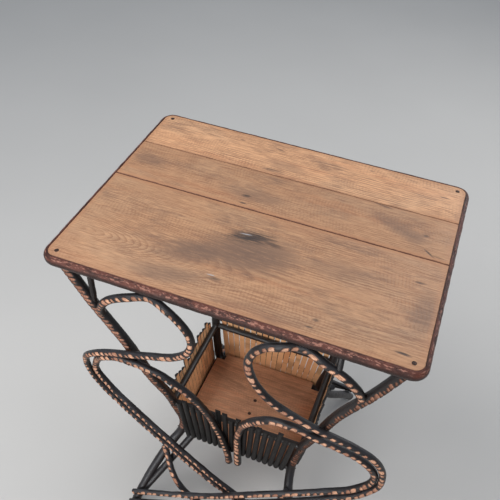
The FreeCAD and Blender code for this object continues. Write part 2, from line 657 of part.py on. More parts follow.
def scroll_route(shares):
    """Points of a front scroll, each crossing with a leg seated square on that leg."""
    points = [scroll_point(*entry) for entry in shares]
    for count, (x_share, place, z_share) in enumerate(shares):
        if place == LEG:
            centre, direction = (turned(part, x_share, -1) for part in leg_at(z_share * table_height, -x_share))
            along = points[min(count + 1, len(points) - 1)] - points[max(count - 1, 0)]
            square = direction.cross(along).normalize()
            outward_sign = -1 if square.y > 0 else 1
            points[count] = centre + square * (outward_sign * leg_standoff)
    return points


def nearest_on_route(points, x):
    """First point of a route, among finely spaced ones, that reaches X; depth is taken as positive."""
    samples = smooth_wire(points).discretize(LEG_SAMPLE_COUNT)
    point = next(sample for sample in samples if sample.x <= x)
    return Vector(point.x, -point.y, point.z)


SCROLLS = {
    "upper_left_scroll": UPPER_LEFT_SHARES, "upper_right_scroll": UPPER_RIGHT_SHARES,
    "left_heart": LEFT_HEART_SHARES, "right_heart": RIGHT_HEART_SHARES, "foot_bow": FOOT_BOW_SHARES,
}
scroll_stems = {}
scroll_nails = []
for face, turn in (("front", 1), ("back", -1)):
    for name, shares in SCROLLS.items():
        label = f"{face}_{name}"
        points = [turned(point, turn, turn) for point in scroll_route(shares)]
        for count, (x_share, place, z_share) in enumerate(shares):
            if place == LEG:
                side = "left" if x_share * turn < 0 else "right"
                centre = turned(leg_at(z_share * table_height, -x_share)[0], x_share * turn, -turn)
                inward = (centre - points[count]).normalize()
                neighbour = points[count + 1] if count + 1 < len(points) else points[count - 1]
                start = points[count] + (neighbour - points[count]).normalize() * size("joint_nail_shift")
                start -= inward * (scroll_radius + size("joint_nail_stand"))
                scroll_nails.append(nail(f"{label}_nail_{count}", start, inward, "Sizes.joint_nail_length",
                                         (label, f"leg_{face}_{side}")))
        first_end, last_end = (shares[0][1] == LEG, shares[-1][1] == LEG)
        longer = lengthened(points, size("scroll_overhang"))
        route = longer[0 if first_end else 1:]
        route = route if last_end else route[:-1]
        stem = bent_twig(label, smooth_wire(route), "scroll_diameter", Y_AXIS.cross(route[1] - route[0]))
        if shares[0][1] == BUTT:
            side = "left" if shares[0][0] * turn < 0 else "right"
            stem = cut(label + "_coped", stem, [leg_stems[f"{face}_{side}"]])
        scroll_stems[label] = stem

# Stub posts under the long rails: on each long side one down to the leg and one down to the scroll
stub_stems = {}
for corner, signs in CORNERS.items():
    side = "front" if signs[1] < 0 else "back"
    head_end = Vector(0, leg_at(under_rail_height)[0].y, under_rail_height)
    if signs[0] == signs[1]:
        foot_end = leg_at(LONG_STUB_SHARE * half_length, axis=0)[0]
        base = leg_stems[corner]
    else:
        scroll = scroll_stems[f"{side}_upper_right_scroll"]
        foot_end = nearest_on_route(scroll_route(UPPER_RIGHT_SHARES), SHORT_STUB_SHARE * half_length)
        base = scroll
    head_end.x = foot_end.x
    blank = rod(f"stub_post_{corner}_blank", turned(head_end, *signs), turned(foot_end, *signs), "stub_diameter")
    stub_stems[f"stub_post_{corner}"] = cut(f"stub_post_{corner}_coped", blank,
                                            [base, rail_stems[f"under_rail_{side}"]])

# Finished pieces
for stems in (board_stems, edging_stems, rail_stems, stub_stems, strut_stems, scroll_stems):
    for label, stem in stems.items():
        keep(label, stem)
for corner, stem in leg_stems.items():
    keep(f"leg_{corner}", stem)
keep("basket_floor", basket_floor)
keep("floor_bearer", bearer)
for label, row in picket_rows.items():
    keep(label, row)
NAIL_GROUPS = {
    "corner_nails": corner_nails, "board_nails": board_nails, "edging_tacks": tacks, "rail_nails": rail_nails,
    "scroll_nails": scroll_nails, "floor_nails": floor_nails,
}
for label, nails in NAIL_GROUPS.items():
    keep(label, group(label + "_group", nails))

doc.recompute()

# Every object must have built, and every piece must be sound, before anything is written
for thing in doc.Objects:
    if "Invalid" in thing.State or "Error" in thing.State:
        raise RuntimeError(f"{thing.Label} failed to build")
for thing in pieces:
    if thing.Shape.isNull() or not thing.Shape.isValid() or not thing.Shape.Solids:
        raise RuntimeError(f"{thing.Label} has no sound solid")

os.makedirs("parts", exist_ok=True)
for thing in pieces:
    thing.Shape.exportStep(f"parts/{thing.Label}.step")
print(f"{len(pieces)} pieces written")
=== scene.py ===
"""Twig table: carved bark twigs, worn boards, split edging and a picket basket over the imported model."""
import math

import bmesh
import bpy
from mathutils import Matrix, Vector, noise
from mathutils.geometry import interpolate_bezier


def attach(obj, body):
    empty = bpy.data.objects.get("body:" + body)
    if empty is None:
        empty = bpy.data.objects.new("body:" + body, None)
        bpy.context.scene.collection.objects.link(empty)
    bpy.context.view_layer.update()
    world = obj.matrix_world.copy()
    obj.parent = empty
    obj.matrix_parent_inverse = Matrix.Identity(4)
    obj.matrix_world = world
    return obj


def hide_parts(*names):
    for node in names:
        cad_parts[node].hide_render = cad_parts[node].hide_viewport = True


bl_info = {
    "name": "Twig Table",
    "version": (1, 0, 0),
    "blender": (4, 5, 0),
    "location": "3D View > Sidebar > Twig Table",
    "description": "Builds the visible pieces of a rustic twig table over its packed model",
    "category": "Add Mesh",
}

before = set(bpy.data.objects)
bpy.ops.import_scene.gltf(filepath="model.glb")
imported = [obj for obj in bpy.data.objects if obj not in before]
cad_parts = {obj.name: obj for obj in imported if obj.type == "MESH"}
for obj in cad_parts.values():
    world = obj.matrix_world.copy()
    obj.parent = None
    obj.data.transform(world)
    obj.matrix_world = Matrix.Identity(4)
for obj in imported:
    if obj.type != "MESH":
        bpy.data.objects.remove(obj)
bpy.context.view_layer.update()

# Main places of the table, in metres, the same as in the solid model
HALF_LENGTH = 0.330
HALF_DEPTH = 0.250
TABLE_HEIGHT = 0.765
BOARD_THICKNESS = 0.018
UNDERSIDE = TABLE_HEIGHT - BOARD_THICKNESS
FRONT_BOARD_WIDTH = 0.250
MIDDLE_BOARD_WIDTH = 0.118
BOARD_GAP = 0.0012
CORNER_RADIUS = 0.026
EDGING_THICKNESS = 0.008
EDGING_HEIGHT = 0.022
BOARD_END = HALF_LENGTH - EDGING_THICKNESS
BOARD_SIDE = HALF_DEPTH - EDGING_THICKNESS
BOARD_RADIUS = CORNER_RADIUS - EDGING_THICKNESS
LEG_END_INSET = 0.027
LEG_SIDE_INSET = 0.024
LEG_TOP = Vector((HALF_LENGTH - LEG_END_INSET, HALF_DEPTH - LEG_SIDE_INSET, UNDERSIDE))
RIM_CORNER = Vector((0.149, 0.122, 0.280))
BASE_CORNER = Vector((0.133, 0.114, 0.173))
FOOT = Vector((0.197, 0.255, 0.0))
LEG_LEAN = 0.009
LEG_RUN_ON = 0.02
SEAT_GAP = 0.0002
BEND_GAP = 0.001
RAIL_RADIUS = 0.007
RAIL_TOUCH_ANGLE = math.radians(36)
UNDER_RAIL_HEIGHT = UNDERSIDE - RAIL_RADIUS - SEAT_GAP
CROSSING_DEPTH = 0.210
SCROLL_OVERHANG = 0.011
STRUT_OFFSET = 0.030
STRUT_FOOT_HEIGHT = 0.026
STRUT_RISE = 0.004
STRUT_ROUNDS = 6
LONG_STUB_SHARE = 0.75
SHORT_STUB_SHARE = 0.606
PICKET_DROP = 0.003
PICKET_RISE = 0.018
PICKET_UNEVENNESS = 0.024
PICKET_CORNER_GAP = 0.003
PICKET_PITCH = 0.0133
BASKET_FLOOR_SIZE = Vector((0.268, 0.236, 0.008))
BASKET_FLOOR_NOTCH = 0.020
BASKET_FLOOR_LEVEL = BASE_CORNER.z + RAIL_RADIUS + SEAT_GAP
FLOOR_NAIL_SHARES = (0.1, -0.23)
CORNER_NAIL_OFFSET = 0.002
NAIL_SINK = 0.0002
NAIL_NODES = ("corner_nails", "board_nails", "edging_tacks", "rail_nails", "scroll_nails", "floor_nails")
CORNERS = {"front_left": (-1, -1), "front_right": (1, -1), "back_left": (-1, 1), "back_right": (1, 1)}
SIDES = {
    "front": ("front_left", "front_right"), "back": ("back_left", "back_right"),
    "left": ("front_left", "back_left"), "right": ("front_right", "back_right"),
}

# Fineness of the meshes, their creases in degrees, and how uneven hand work leaves them
BARK_WRAP = 0.0065
LUMP_FINENESS = 42.0
KNOB_FINENESS = 16.0
CHIP_FADE = 0.02
CHIP_DRIFT = 1.1
CHIP_DRIFT_FINENESS = 34.0
CHIP_RAGGEDNESS = 0.22
CHIP_RAG_FINENESS = 320.0
CHIP_LEAST_SHARE = 0.50
CHIP_MOST_SHARE = 1.20
STRIP_LUMP_FINENESS = 60.0
NAIL_DENT = 0.0009
NAIL_DENT_FINENESS = 420.0
CORNER_STEPS = 12
EDGING_TURN_STEP = 6
OUTLINE_STEP = 0.012
BOARD_WEAR = 0.0004
WEAR_FINENESS = 55.0
LEVEL_TOLERANCE = 1e-6
BOARD_CREASE = 40
EDGING_CREASE = 55
PICKET_CREASE = 50
RAIL_SWAY = 0.0008
SWAY_FINENESS = 40.0
RAIL_LUMP_SHARE = 0.9

# First seed of each kind of piece
EDGING_SEED = 3
PICKET_SEED = 5
NAIL_SEED = 7
LEG_SEED = 11
SCROLL_SEED = 21
RAIL_SEED = 41

# Shares of the way from the rim to the top and from the basket bottom to the foot, of the sideways lean,
# of the unevenness of the picket tips, and of a chip's length and depth
LEG_SHOULDER_SHARES = ((0.72, 0.97, 0.82), (0.39, 0.87, 0.61), (0.15, 0.58, 0.33), (0.04, 0.21, 0.12))
LEG_FOOT_SHARES = ((0.2, 0.185, 0.22), (0.55, 0.54, 0.54), (0.86, 0.86, 0.83))
LEG_LEAN_SHARES = (0, -0.6, -1, -1, -0.6, 0, 0, 0.8, 1, 0.5, 0.3)
TIP_WAVE_SHARES = (0.0, 0.7, 0.3, 1.0, 0.5, 0.1, 0.85, 0.4, 0.95, 0.2, 0.6)
CHIP_SHARES = ((0.12, 0.90), (0.45, 1.0), (0.86, 0.80))

# Scroll routes: share of half the length, place or share of half the depth, share of the height
LEG, BUTT, SHEET, PICKETS, RAIL = "leg", "butt", "sheet", "pickets", "rail"
CROSS_BACK, CROSS_FRONT = "cross back", "cross front"
UPPER_LEFT_SHARES = (
    (-1, BUTT, 0.822), (-0.613, SHEET, 0.916), (-0.505, SHEET, 0.943), (-0.395, RAIL, 1),
    (-0.293, SHEET, 0.942), (-0.224, SHEET, 0.915), (-0.173, SHEET, 0.882), (-0.16, SHEET, 0.848),
    (-0.188, SHEET, 0.81), (-0.264, SHEET, 0.775), (-0.422, SHEET, 0.74), (-1, LEG, 0.712),
    (-0.739, SHEET, 0.675), (-0.835, SHEET, 0.643), (-0.928, 0.784, 0.572), (-0.925, 0.758, 0.519),
    (-0.848, 0.744, 0.454), (-0.689, 0.76, 0.394), (-0.454, 0.788, 0.323), (-0.109, CROSS_BACK, 0.214),
    (0.2, CROSS_BACK, 0.118), (1, LEG, 0.031),
)
LEFT_HEART_SHARES = (
    (-0.022, PICKETS, 0.185), (-0.047, PICKETS, 0.261), (-0.087, PICKETS, 0.325), (-0.132, 0.6, 0.392),
    (-0.158, SHEET, 0.508), (-0.21, SHEET, 0.583), (-0.286, SHEET, 0.623), (-0.363, SHEET, 0.652),
    (-1, LEG, 0.678), (-0.655, SHEET, 0.672), (-0.744, SHEET, 0.65), (-0.848, 0.786, 0.584),
    (-0.878, 0.754, 0.526), (-0.812, 0.744, 0.472), (-0.656, 0.76, 0.412), (-0.423, 0.788, 0.342),
    (-0.08, CROSS_BACK, 0.233), (0.226, CROSS_BACK, 0.136), (1, LEG, 0.058),
)
RIGHT_HEART_SHARES = (
    (0.043, PICKETS, 0.195), (0.037, PICKETS, 0.286), (0.036, PICKETS, 0.35), (0.054, 0.6, 0.4),
    (0.126, SHEET, 0.513), (0.202, SHEET, 0.574), (0.284, SHEET, 0.61), (0.365, SHEET, 0.62),
    (0.449, SHEET, 0.62), (1, LEG, 0.606), (0.704, SHEET, 0.585), (0.8, SHEET, 0.565),
    (0.88, 0.784, 0.536), (0.922, 0.752, 0.493), (0.915, 0.734, 0.441), (0.842, 0.746, 0.398),
    (0.648, 0.772, 0.337), (0.235, CROSS_FRONT, 0.252), (-0.092, CROSS_FRONT, 0.143), (-1, LEG, 0.053),
)
UPPER_RIGHT_SHARES = (
    (1, BUTT, 0.813), (0.656, SHEET, 0.907), (0.541, SHEET, 0.934), (0.41, RAIL, 1),
    (0.31, SHEET, 0.942), (0.251, SHEET, 0.93), (0.191, SHEET, 0.904), (0.155, SHEET, 0.863),
    (0.166, SHEET, 0.814), (0.216, SHEET, 0.764), (0.294, SHEET, 0.72), (0.398, SHEET, 0.69),
    (1, LEG, 0.656), (0.776, SHEET, 0.626), (0.87, SHEET, 0.6), (0.937, 0.784, 0.55),
    (0.968, 0.752, 0.497), (0.962, 0.736, 0.437), (0.89, 0.752, 0.388), (0.686, 0.784, 0.318),
    (0.241, CROSS_FRONT, 0.208), (-0.09, CROSS_FRONT, 0.093), (-1, LEG, 0.03),
)
FOOT_BOW_SHARES = (
    (-1, LEG, 0.166), (-0.338, 0.77, 0.1), (-0.254, 0.79, 0.064), (-0.1, 0.8, 0.032),
    (0.1, 0.8, 0.032), (0.254, 0.79, 0.064), (0.338, 0.77, 0.1), (1, LEG, 0.166),
)
# Each scroll's route, and its shares of the chip pitch, of the chips' sideways lean and, at its butt and
# its tip, of the scroll diameter
SCROLLS = {
    "upper_left_scroll": (UPPER_LEFT_SHARES, 0.85, -0.25, 1.1, 0.86),
    "upper_right_scroll": (UPPER_RIGHT_SHARES, 1.15, 0.15, 1.14, 0.9),
    "left_heart": (LEFT_HEART_SHARES, 0.85, -0.15, 1.16, 0.84),
    "right_heart": (RIGHT_HEART_SHARES, 1.0, -0.1, 1.26, 0.88),
    "foot_bow": (FOOT_BOW_SHARES, 1.0, 0.0, 1.0, 1.0),
}

# Marks on the top: place along and across, half length, half width, turn in degrees, strength
DARK_MARKS = (
    (-0.016, -0.063, 0.052, 0.024, 12, 0.95), (0.022, -0.066, 0.030, 0.010, -8, 0.60),
    (0.286, -0.217, 0.017, 0.0035, -3, 0.95), (-0.065, 0.044, 0.012, 0.005, 5, 0.80),
    (-0.064, 0.021, 0.011, 0.0035, 0, 0.90), (-0.139, 0.216, 0.008, 0.0035, 0, 0.60),
    (-0.055, 0.215, 0.015, 0.0035, -15, 0.60), (-0.049, 0.142, 0.026, 0.006, 0, 0.50),
    (0.135, 0.223, 0.006, 0.0035, 0, 0.50), (0.285, 0.197, 0.013, 0.003, 0, 0.75),
    (0.178, 0.124, 0.028, 0.004, -12, 0.90), (0.271, 0.069, 0.008, 0.004, 0, 0.60),
    (0.284, 0.024, 0.018, 0.003, -40, 0.85), (0.282, -0.055, 0.016, 0.0035, 0, 0.70),
    (0.145, -0.204, 0.008, 0.005, 0, 0.60), (0.140, -0.222, 0.011, 0.0035, 0, 0.70),
    (-0.036, -0.184, 0.016, 0.005, 6, 0.55), (0.300, 0.020, 0.022, 0.002, -5, 0.60),
)
GREY_MARKS = (
    (-0.005, -0.105, 0.125, 0.064, 14, 0.95), (-0.085, -0.135, 0.095, 0.040, 20, 0.95),
    (-0.120, -0.205, 0.085, 0.028, 8, 0.65), (0.222, 0.072, 0.085, 0.024, -22, 0.70),
    (-0.048, 0.050, 0.080, 0.026, 4, 0.55), (-0.283, 0.076, 0.050, 0.022, 0, 0.60),
    (0.302, -0.120, 0.030, 0.070, 0, 0.55), (-0.031, 0.165, 0.060, 0.022, -6, 0.50),
    (0.060, -0.222, 0.120, 0.020, 0, 0.35), (0.150, -0.080, 0.100, 0.030, 4, 0.35),
)
PALE_MARKS = ((-0.026, -0.059, 0.014, 0.0020, 6, 0.85), (-0.044, -0.178, 0.010, 0.0018, 4, 0.85))

# Grain of a board: its heart from the middle of the top, depth of the heart at the two ends, ring width
FRONT_HEART = (-0.160, 0.004, 0.075, 0.0034)
MIDDLE_HEART = (0.240, 0.060, 0.040, 0.0042)
BACK_HEART = (0.020, 0.050, 0.080, 0.0046)
FLOOR_HEART = (0.03, 0.02, 0.05, 0.012)

# Camera, in the photograph's place, and lamps: name, place, aim, width, power
CAMERA_PLACE = (0.2615, -0.9338, 1.5710)
CAMERA_RIGHT = Vector((0.93477, 0.35105, 0.05453))
CAMERA_DOWN = Vector((0.27531, -0.61879, -0.73573))
CAMERA_FORWARD = Vector((-0.22454, 0.70275, -0.67507))
CAMERA_LENS = 49.9
SENSOR_WIDTH = 36.0
LAMPS = (
    ("key", (-1.1, -0.6, 2.6), (0.0, 0.0, 0.5), 1.8, 34.0),
    ("back", (1.3, 1.9, 2.2), (0.0, 0.0, 0.6), 1.6, 34.0),
    ("front", (-0.5, -2.2, 0.95), (0.0, 0.1, 0.25), 1.2, 34.0),
)
SKY_STRENGTH = 0.42
STAGE_REACH = 6.0


# Sizes and colours that a user would change
def metres(name, description, value):
    """Length property with its default."""
    return bpy.props.FloatProperty(name=name, description=description, default=value, unit="LENGTH")


def colour(name, description, value):
    """Colour property with its default."""
    return bpy.props.FloatVectorProperty(name=name, description=description, default=value, subtype="COLOR",
                                         size=3, min=0.0, max=1.0)


class TwigTableSizes(bpy.types.PropertyGroup):
    """Sizes of the twigs, chips and boards."""
    leg_diameter: metres("Leg Diameter", "Thickness of a leg", 0.020)
    scroll_diameter: metres("Scroll Diameter", "Thickness of a bent scroll twig", 0.014)
    rail_diameter: metres("Rail Diameter", "Thickness of the straight rails", 2 * RAIL_RADIUS)
    stub_diameter: metres("Stub Diameter", "Thickness of a stub post", 0.011)
    strut_diameter: metres("Strut Diameter", "Thickness of a foot strut", 0.016)
    ring_step: metres("Ring Step", "Distance between the rings of a carved twig", 0.0015)
    edging_step: metres("Edging Step", "Distance between the rings of the edging", 0.004)
    picket_step: metres("Picket Step", "Distance between the rings of a picket", 0.007)
    chip_pitch: metres("Chip Pitch", "Distance from one carved chip of a scroll to the next", 0.015)
    leg_chip_pitch: metres("Leg Chip Pitch", "Distance from one notch of a leg to the next", 0.0105)
    chip_share: bpy.props.FloatProperty(
        name="Chip Share", description="Share of the pitch that a chip takes", default=0.70, subtype="FACTOR")
    chip_depth: metres("Chip Depth", "Deepest cut of a chip in a scroll", 0.0025)
    leg_chip_depth: metres("Leg Chip Depth", "Deepest cut of a chip in a leg", 0.0038)
    lump_height: metres("Lump Height", "How uneven the bark of a twig is", 0.0007)
    edging_lump: metres("Edging Lump", "How uneven the edging is", 0.0011)
    picket_lump: metres("Picket Lump", "How uneven a picket is", 0.0012)
    picket_width: metres("Picket Width", "Width of a split picket", 0.013)
    board_edge: metres("Board Edge", "Rounding of the worn board edges", 0.0013)
    nail_head: metres("Nail Head", "Width of a nail head in the boards", 0.0090)
    nail_dome: metres("Nail Dome", "Height of a nail head in the boards", 0.0016)


class TwigTableColours(bpy.types.PropertyGroup):
    """Colours of the woods, barks and iron."""
    bark: colour("Bark", "Dark bark of the bent twigs", (0.016, 0.011, 0.010))
    # Bloom and sheen colour: in the carved barks a painted sky sheen on upward faces, in the rail bark
    # lighter blotches.
    bark_bloom_and_sheen: colour("Bark Bloom and Sheen", "Blue-grey bloom on the bark", (0.036, 0.036, 0.041))
    chip_wood: colour("Chip Wood", "Fresh wood in a carved chip", (0.800, 0.460, 0.290))
    # Chip dirt and shade colour: dirt and random tone in rubs, streaks and chips, and painted shade at the
    # shallow edges of the chips.
    chip_dirt_and_shade: colour("Chip Dirt and Shade", "Dirty wood in a carved chip", (0.200, 0.068, 0.038))
    notch_wood: colour("Notch Wood", "Wood in the notches of the legs", (0.560, 0.270, 0.165))
    rail: colour("Rail Bark", "Smooth bark of the basket rails", (0.020, 0.015, 0.013))
    top_wood: colour("Top Wood", "Pale wood of the top", (0.495, 0.268, 0.140))
    top_warm: colour("Top Warm Wood", "Orange streaks in the top", (0.440, 0.205, 0.100))
    top_grain: colour("Top Grain", "Dark grain of the top", (0.255, 0.115, 0.058))
    top_grey: colour("Top Grey", "Weathered wood of the top", (0.170, 0.098, 0.066))
    top_seam: colour("Top Seam", "Dark seams between the boards", (0.150, 0.056, 0.030))
    top_dirt: colour("Top Dirt", "Stains on the top", (0.030, 0.024, 0.023))
    top_pale: colour("Top Pale", "Pale scars on the top", (0.400, 0.390, 0.395))
    edging: colour("Edging Bark", "Red-brown bark of the edging", (0.150, 0.043, 0.027))
    # Edging fleck colour: a painted highlight, laid only on the upward-facing ridge of the edging.
    edging_fleck_highlight: colour("Edging Fleck Highlight", "Pinkish flecks on the edging", (0.340, 0.150, 0.105))
    split_wood: colour("Split Wood", "Split faces of the pickets", (0.860, 0.470, 0.230))
    floor_wood: colour("Basket Floor", "Brown board of the basket floor", (0.590, 0.290, 0.155))
    iron: colour("Nail Iron", "Dark iron of the nails", (0.045, 0.033, 0.029))
    rust: colour("Nail Rust", "Rust on the nails", (0.085, 0.034, 0.018))
    stage: colour("Stage", "Pale floor under the table", (0.560, 0.545, 0.520))
    sky: colour("Sky", "Soft light from all round", (0.80, 0.88, 1.0))


# Node tree helpers
class Field:
    """Output of a node; sums and products of it add nodes to the same tree."""

    def __init__(self, socket):
        self.socket = socket
        self.tree = socket.id_data
        self.vector = socket.type == "VECTOR"

    def worked(self, operation, other=(0.0, 0.0, 0.0), output="Vector"):
        """Vector operation on this and another vector."""
        return take(self.tree, "ShaderNodeVectorMath", {0: self, 1: other}, output, operation=operation)

    def __add__(self, other):
        return self.worked("ADD", other) if self.vector else calc("ADD", self, other)

    def __sub__(self, other):
        return self.worked("SUBTRACT", other) if self.vector else calc("SUBTRACT", self, other)

    def __rsub__(self, other):
        return calc("SUBTRACT", other, self)

    def __mul__(self, other):
        if not self.vector:
            return calc("MULTIPLY", self, other)
        return self.worked("MULTIPLY", other) if isinstance(other, tuple) else scaled(self, other)

    def __truediv__(self, other):
        return calc("DIVIDE", self, other)

    def dot(self, other):
        """Share of another vector along this one."""
        return self.worked("DOT_PRODUCT", other, "Value")

    def cross(self, other):
        """Vector square to this one and another."""
        return self.worked("CROSS_PRODUCT", other)

    def unit(self):
        """This vector with a length of one."""
        return self.worked("NORMALIZE")

    def length(self):
        """Length of this vector."""
        return self.worked("LENGTH", output="Value")

    def parts(self):
        """Shares of this vector along X, Y and Z."""
        return [Field(socket) for socket in put(self.tree, "ShaderNodeSeparateXYZ", {0: self}).outputs]


def put(tree, kind, inputs=None, **options):
    """Add one node; inputs maps its sockets to values or to fields."""
    made = tree.nodes.new(kind)
    for name, value in options.items():
        setattr(made, name, value)
    for key, value in (inputs or {}).items():
        if isinstance(value, Field):
            tree.links.new(value.socket, made.inputs[key])
        else:
            made.inputs[key].default_value = value
    return made


def take(tree, kind, inputs=None, output=0, **options):
    """Add one node and take one of its outputs."""
    return Field(put(tree, kind, inputs, **options).outputs[output])


def calc(operation, first, second=0.0):
    """Number worked out from one or two numbers, one of which is a field."""
    tree = first.tree if isinstance(first, Field) else second.tree
    return take(tree, "ShaderNodeMath", {0: first, 1: second}, operation=operation)


def scaled(vector, factor):
    """Vector times a number, one of which is a field."""
    tree = vector.tree if isinstance(vector, Field) else factor.tree
    return take(tree, "ShaderNodeVectorMath", {0: vector, "Scale": factor}, operation="SCALE")


def packed(x, y, z):
    """Vector of three numbers, the first or the last of which is a field."""
    tree = x.tree if isinstance(x, Field) else z.tree
    return take(tree, "ShaderNodeCombineXYZ", {0: x, 1: y, 2: z})


def ramp(value, low, high, to_low=0.0, to_high=1.0, smooth=True):
    """Number carried from one range to another."""
    return take(value.tree, "ShaderNodeMapRange", {0: value, 1: low, 2: high, 3: to_low, 4: to_high},
                interpolation_type="SMOOTHSTEP" if smooth else "LINEAR")


def speckle(place, scale, detail=4.0, roughness=0.55):
    """Noise from zero to one; its scale is one number, or one for each axis for a grain or a streak."""
    if isinstance(scale, tuple):
        place, scale = place * scale, 1.0
    return take(place.tree, "ShaderNodeTexNoise",
                {"Vector": place, "Scale": scale, "Detail": detail, "Roughness": roughness})


def blend(share, first, second, blend_type="MIX"):
    """Colour between two colours, each a field or three values."""
    tree = next(value.tree for value in (share, second) if isinstance(value, Field))
    first, second = (value if isinstance(value, Field) else (*value, 1.0) for value in (first, second))
    return take(tree, "ShaderNodeMix", {0: share, 6: first, 7: second}, 2, data_type="RGBA",
                blend_type=blend_type)


def shade(tone, *factors):
    """Colour times one factor, or times one for each of red, green and blue."""
    return [value * factors[count % len(factors)] for count, value in enumerate(tone)]


def group(name, kind, inputs, outputs):
    """New node group and its inputs by name; each input has a default, or only a kind of socket."""
    tree = bpy.data.node_groups.new(name, kind)
    kinds = {float: "Float", int: "Int", tuple: "Vector"}
    for label, value in inputs.items():
        bare = isinstance(value, str)
        socket = tree.interface.new_socket(
            name=label, in_out="INPUT", socket_type="NodeSocket" + (value if bare else kinds[type(value)]))
        if not bare:
            socket.default_value = value
    for label, value in outputs.items():
        tree.interface.new_socket(name=label, in_out="OUTPUT", socket_type="NodeSocket" + value)
    return tree, {socket.name: Field(socket) for socket in put(tree, "NodeGroupInput").outputs if socket.name}


# Geometry Nodes trees
def labelled(geometry, domain="POINT", **values):
    """Geometry that carries fields under names."""
    for name, value in values.items():
        geometry = take(geometry.tree, "GeometryNodeStoreNamedAttribute",
                        {"Geometry": geometry, "Name": name, "Value": value},
                        data_type="FLOAT_VECTOR" if value.vector else "FLOAT", domain=domain)
    return geometry


def carried(tree, name, kind="FLOAT"):
    """Field that geometry carries under a name."""
    return take(tree, "GeometryNodeInputNamedAttribute", {"Name": name}, data_type=kind)


def drawn_from(place, seed, step):
    """Place moved by a step for each count of a seed, so that no two patterns look alike."""
    return place + scaled(step, seed)


def end_tree(geometry, material):
    """Realize a tree's geometry, set its material and put it out."""
    tree = geometry.tree
    geometry = take(tree, "GeometryNodeRealizeInstances", {"Geometry": geometry})
    geometry = take(tree, "GeometryNodeSetMaterial", {"Geometry": geometry, "Material": material})
    put(tree, "NodeGroupOutput", {"Geometry": geometry})


def carved_twig_tree():
    """Round twig along a curve, uneven, with chips cut from the side that faces one way."""
    tree, given = group("Carved Twig", "GeometryNodeTree", {
        "Geometry": "Geometry", "Diameter": 0.013, "Ring Step": 0.0015, "Sides": 28, "Chip Pitch": 0.015,
        "Chip Share": 0.6, "Chip Depth": 0.002, "Chip Facing": (0.0, -1.0, 0.0), "Chip Slant": 0.3,
        "Chips Above": -1.0, "Low Cut": -1.0, "High Cut": 9.0, "Butt Share": 1.0, "Tip Share": 1.0,
        "Lump Height": 0.0006, "Seed": 1, "Bark": "Material"}, {"Geometry": "Geometry"})
    line = take(tree, "GeometryNodeResampleCurve", {"Curve": given["Geometry"], "Length": given["Ring Step"]},
                mode="LENGTH")
    share_along = take(tree, "GeometryNodeSplineParameter", output="Factor")
    thickness = ramp(share_along, 0.0, 1.0, given["Butt Share"], given["Tip Share"], smooth=False)
    line = labelled(line, along=take(tree, "GeometryNodeSplineParameter", output="Length"),
                    thickness=thickness, middle=take(tree, "GeometryNodeInputPosition"),
                    way=take(tree, "GeometryNodeInputTangent"))
    full_radius = given["Diameter"] * 0.5
    ring = take(tree, "GeometryNodeCurvePrimitiveCircle",
                {"Resolution": given["Sides"], "Radius": full_radius})
    tube = take(tree, "GeometryNodeCurveToMesh", {"Curve": line, "Profile Curve": ring, "Fill Caps": True})

    # Directions round the twig, the front one being where the chips are cut
    place = take(tree, "GeometryNodeInputPosition")
    along, middle, way = (carried(tree, "along"), carried(tree, "middle", "FLOAT_VECTOR"),
                          carried(tree, "way", "FLOAT_VECTOR"))
    outward = (place - middle).unit()
    facing = given["Chip Facing"]
    square = (facing - way * facing.dot(way)).unit()
    forward_share = outward.dot(square)
    side_share = outward.dot(way.cross(square))

    # Lumps of the bark and knobs of the twig
    half = full_radius * carried(tree, "thickness")
    seed, step, lump_height = given["Seed"], (0.37, 0.73, 0.51), given["Lump Height"]
    lump = (speckle(drawn_from(place, seed, step), LUMP_FINENESS, 2.0) - 0.5) * (lump_height * 2.0)
    knob = ramp(speckle(drawn_from(middle, seed, step), KNOB_FINENESS, 1.0), 0.60, 0.74) * lump_height
    radius = half + lump + knob

    # Chips: slanted, unevenly spaced and each with its own depth and tone
    turns = along / given["Chip Pitch"] + side_share * given["Chip Slant"]
    turns = turns + speckle(middle, CHIP_DRIFT_FINENESS, 2.0) * CHIP_DRIFT
    turns = turns + speckle(place, CHIP_RAG_FINENESS, 2.0) * CHIP_RAGGEDNESS
    number = calc("FLOOR", turns)
    chance, tone = (
        take(tree, "FunctionNodeRandomValue", {2: low, 3: high, "ID": number, "Seed": own_seed}, 1,
             data_type="FLOAT")
        for low, high, own_seed in ((CHIP_LEAST_SHARE, CHIP_MOST_SHARE, seed), (0.0, 1.0, seed + 100.0)))
    phase = calc("FRACT", turns) / (given["Chip Share"] * chance)
    scoop = put(tree, "ShaderNodeFloatCurve", {"Value": calc("MINIMUM", phase, 1.0)})
    curve = scoop.mapping.curves[0]
    curve.points[0].location = (0.0, 0.0)
    curve.points[1].location = (1.0, 0.0)
    for share, depth in CHIP_SHARES:
        curve.points.new(share, depth)
    scoop.mapping.update()
    chipped = ramp(middle.parts()[2] - given["Chips Above"], 0.0, CHIP_FADE)
    depth = Field(scoop.outputs[0]) * given["Chip Depth"] * chance * chipped
    cut_radius = calc("MINIMUM", radius, (half - depth) / calc("MAXIMUM", forward_share, 0.05))
    chip = (radius - cut_radius) / calc("MAXIMUM", given["Chip Depth"], 0.0001)
    tube = labelled(tube, chip=chip * ramp(depth, 0.00025, 0.0007), tone=tone,
                    bark=packed(forward_share * BARK_WRAP, side_share * BARK_WRAP, along))

    # Ends sawn level where a twig stands on the floor or under the boards
    shaped = middle + outward * cut_radius
    height = shaped.parts()[2]
    past = calc("MAXIMUM", height - given["High Cut"], 0.0) + calc("MINIMUM", height - given["Low Cut"], 0.0)
    shaped = shaped - way * (past / way.parts()[2])
    tube = take(tree, "GeometryNodeSetPosition", {"Geometry": tube, "Position": shaped})
    tube = take(tree, "GeometryNodeSetShadeSmooth", {"Geometry": tube})
    end_tree(tube, given["Bark"])


